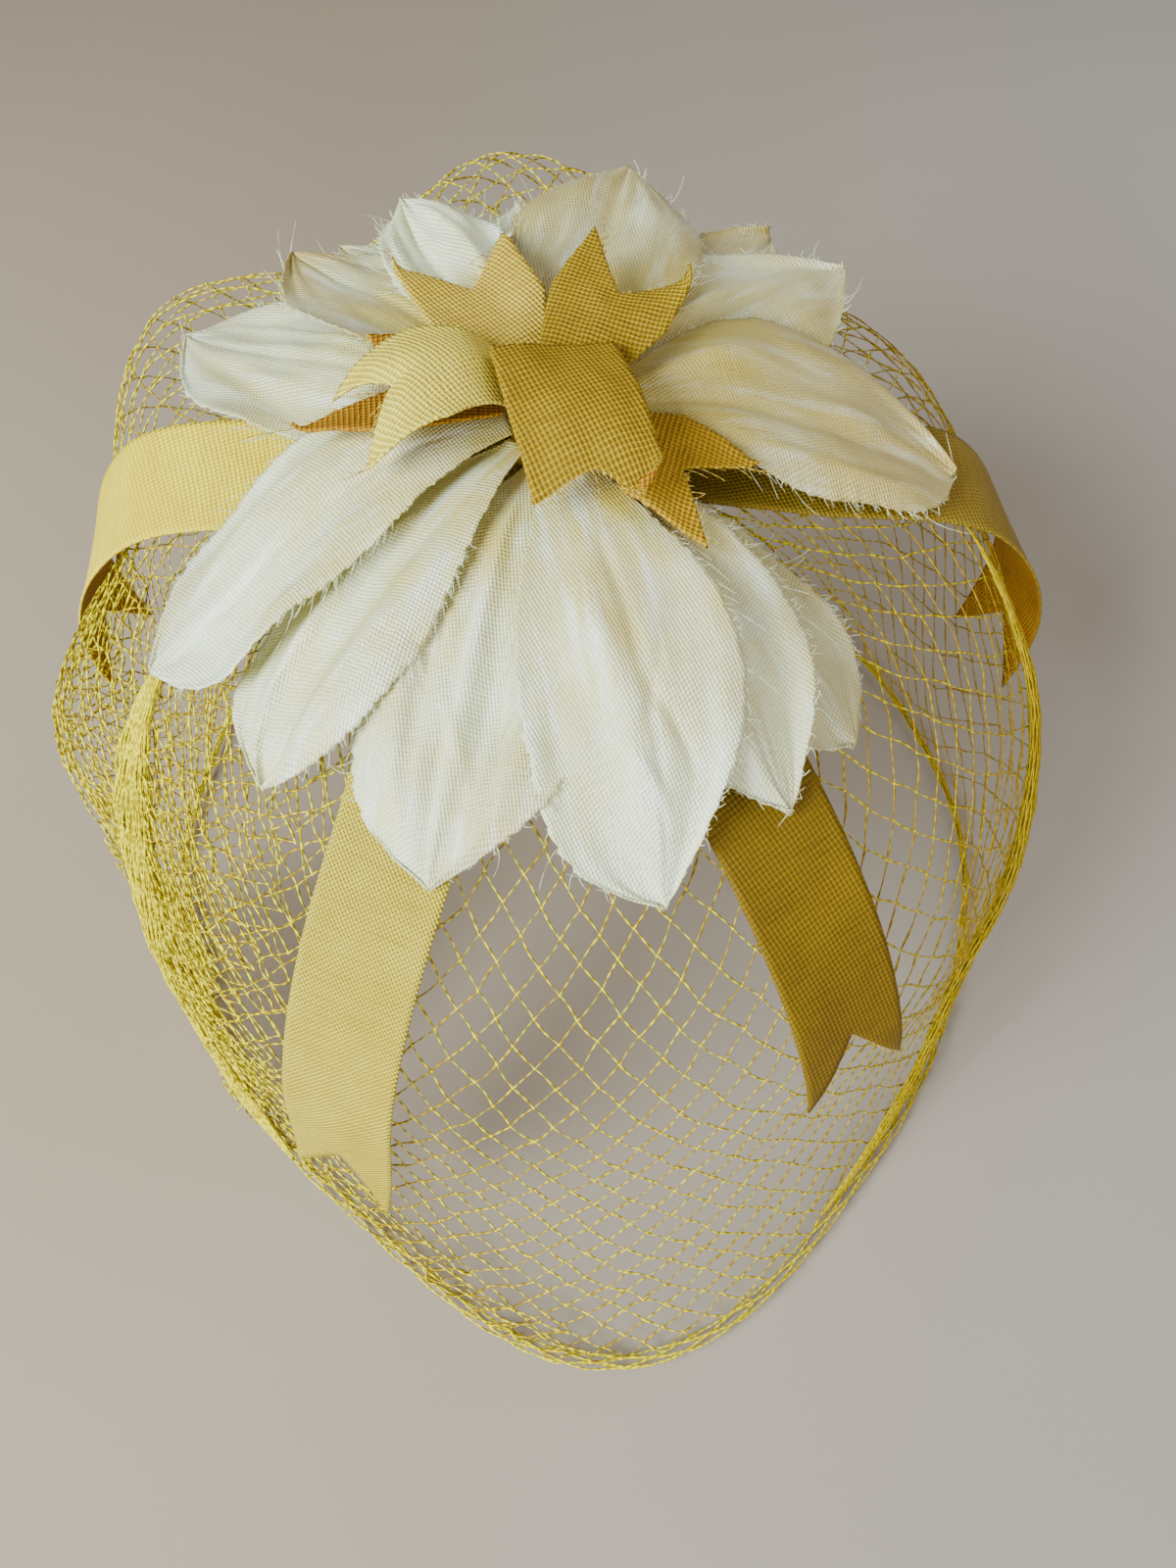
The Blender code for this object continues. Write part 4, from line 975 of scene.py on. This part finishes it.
def layStreamer(row, seed, fringe):
    name, layer, front, back, frontFinish, backFinish = row
    across = np.linspace(-1, 1, streamers["columns"] + 1)
    aside = across * streamers["width"] / 2
    pattern = np.full_like(across, seed * streamers["patternStep"])
    halves, marks = [], []
    for (azimuth, length, lift, kick, roll), sign in ((front, -1), (back, 1)):
        half, mark = [], []
        for step in range(1, streamers["steps"] + 1):
            stop = length - streamers["notch"] * (1 - np.abs(across))
            distance = stop * step / streamers["steps"]
            share = np.maximum(0, (distance - streamers["crossing"]) / (length - streamers["crossing"]))
            clear = streamers["seat"] + layer * streamers["pitch"] * np.maximum(0, 1 - share * 3)
            clear = clear + lift * np.sin(math.pi * share) + kick * share**2
            turn = np.full_like(distance, azimuth)
            out = surface.outward(turn, distance)
            out = np.where((distance < streamers["level"])[:, None], np.array([0, 0, 1.0]), out)
            down = unit(surface.point(turn, distance + 1) - surface.point(turn, np.maximum(distance - 1, 0)))
            beside = np.cross(out, down)
            tilt = (np.radians(roll) * np.minimum(1, share * 1.5))[:, None]
            beside = beside * np.cos(tilt) + out * np.sin(tilt)
            curl = 0.5 * np.sin(share * 9 + seed) * np.abs(across) ** 3 * share
            place = surface.point(turn, distance) + out * ((clear + curl) * mm)[:, None]
            half.append(place + beside * (sign * aside * mm)[:, None])
            mark.append(np.stack([aside, sign * distance, pattern], axis=-1))
        halves.append(half)
        marks.append(mark)
    middle = directionOf(np.float64(back[0])) - directionOf(np.float64(front[0]))
    middle = np.array([-middle[1], middle[0], 0]) / np.linalg.norm(middle)
    level = flowerAxis + np.array([0, 0, veil["crownHeight"] + streamers["seat"] + layer * streamers["pitch"]]) * mm
    centre = level + middle * (aside * mm)[:, None]
    flatMark = np.stack([aside, across * 0, pattern], axis=-1)
    grid = np.array(halves[0][::-1] + [centre] + halves[1])
    weave = np.array(marks[0][::-1] + [flatMark] + marks[1])
    rim = np.clip((np.abs(across)[None, :] - 0.93) * 14, 0, 1) * np.ones((len(grid), 1))
    # the streamer backs take the darker orange: partly their own colour, partly painted shade
    finishes = [frontFinish, shadeOrange, backFinish, shadeOrange]
    made = clothFromGrid(name + "_ribbon", grid, weave, finishes, streamers["wall"], {"rim": rim})
    for face in made.data.polygons:
        face.material_index = 2 if face.index >= streamers["steps"] * streamers["columns"] else 0
    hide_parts(name)
    flat, area = flatSize(grid, streamers["width"])
    ragged = np.random.default_rng(seed + streamers["seedFrom"])
    fray(grid.swapaxes(0, 1), fringe, streamers["threads"], ragged, "ribbon", (0, 1))


for order, row in enumerate(streamers["table"]):
    layStreamer(row, order + 1, ribbonFringe)
ribbonThreads = ribbonFringe.finish("ribbon_loose_threads", goldThread)
print("streamers laid:", len(streamers["table"]))


# what stays from the frame
for node, finish in (("crown_base", feltFinish()), ("hair_comb", combFinish()), ("flower_core", gold)):
    nodes[node].data.materials.clear()
    nodes[node].data.materials.append(finish)
rounded = nodes["hair_comb"].modifiers.new("rounded", "BEVEL")
rounded.width, rounded.segments = 0.5 * mm, 3


studio = {
    "floorSize": 4.0, "worldColour": (1.0, 0.97, 0.91), "worldStrength": 0.31,
    # name, place, aim, size, watts, colour
    "lights": [
        ("keyLight", (-0.66, -0.45, 0.60), (0.0, 0.0, 0.08), 0.6, 20.0, (0.93, 1.0, 0.98)),
        ("fillLight", (0.62, 0.3, 0.5), (0.0, 0.0, 0.06), 0.8, 2.4, (1.0, 0.86, 0.66)),
        ("frontLight", (0.10, -1.0, 0.38), (0.0, 0.0, 0.03), 0.8, 6.5, (1.0, 0.95, 0.90)),
    ],
    "cameraFromFlower": (0.007, -0.159, 0.250), "cameraTilt": 33.0, "lens": 26.0,
}

half = studio["floorSize"] / 2
floorMesh = bpy.data.meshes.new("table_top")
floorMesh.from_pydata([(-half, -half, 0), (half, -half, 0), (half, half, 0), (-half, half, 0)], [], [(0, 1, 2, 3)])
floorMesh.materials.append(floorFinish())
floor = addObject("table_top", floorMesh)

world = bpy.data.worlds.new("softRoom")
world.use_nodes = True
sky = world.node_tree.nodes["Background"]
sky.inputs["Color"].default_value = (*studio["worldColour"], 1)
sky.inputs["Strength"].default_value = studio["worldStrength"]
bpy.context.scene.world = world

for name, place, aim, size, watts, colour in studio["lights"]:
    lamp = bpy.data.lights.new(name, "AREA")
    lamp.shape, lamp.size, lamp.energy, lamp.color = "DISK", size, watts, colour
    holder = addObject(name, lamp)
    holder.location = place
    holder.rotation_euler = (Vector(aim) - Vector(place)).to_track_quat("-Z", "Y").to_euler()

lensData = bpy.data.cameras.new("photoCamera")
lensData.lens, lensData.sensor_width = studio["lens"], 36.0
lensData.clip_start = 0.005
camera = addObject("photoCamera", lensData)
camera.location = Vector(flowerAxis) + Vector(studio["cameraFromFlower"])
camera.rotation_euler = (math.radians(studio["cameraTilt"]), 0, 0)
bpy.context.scene.camera = camera
print("studio set")
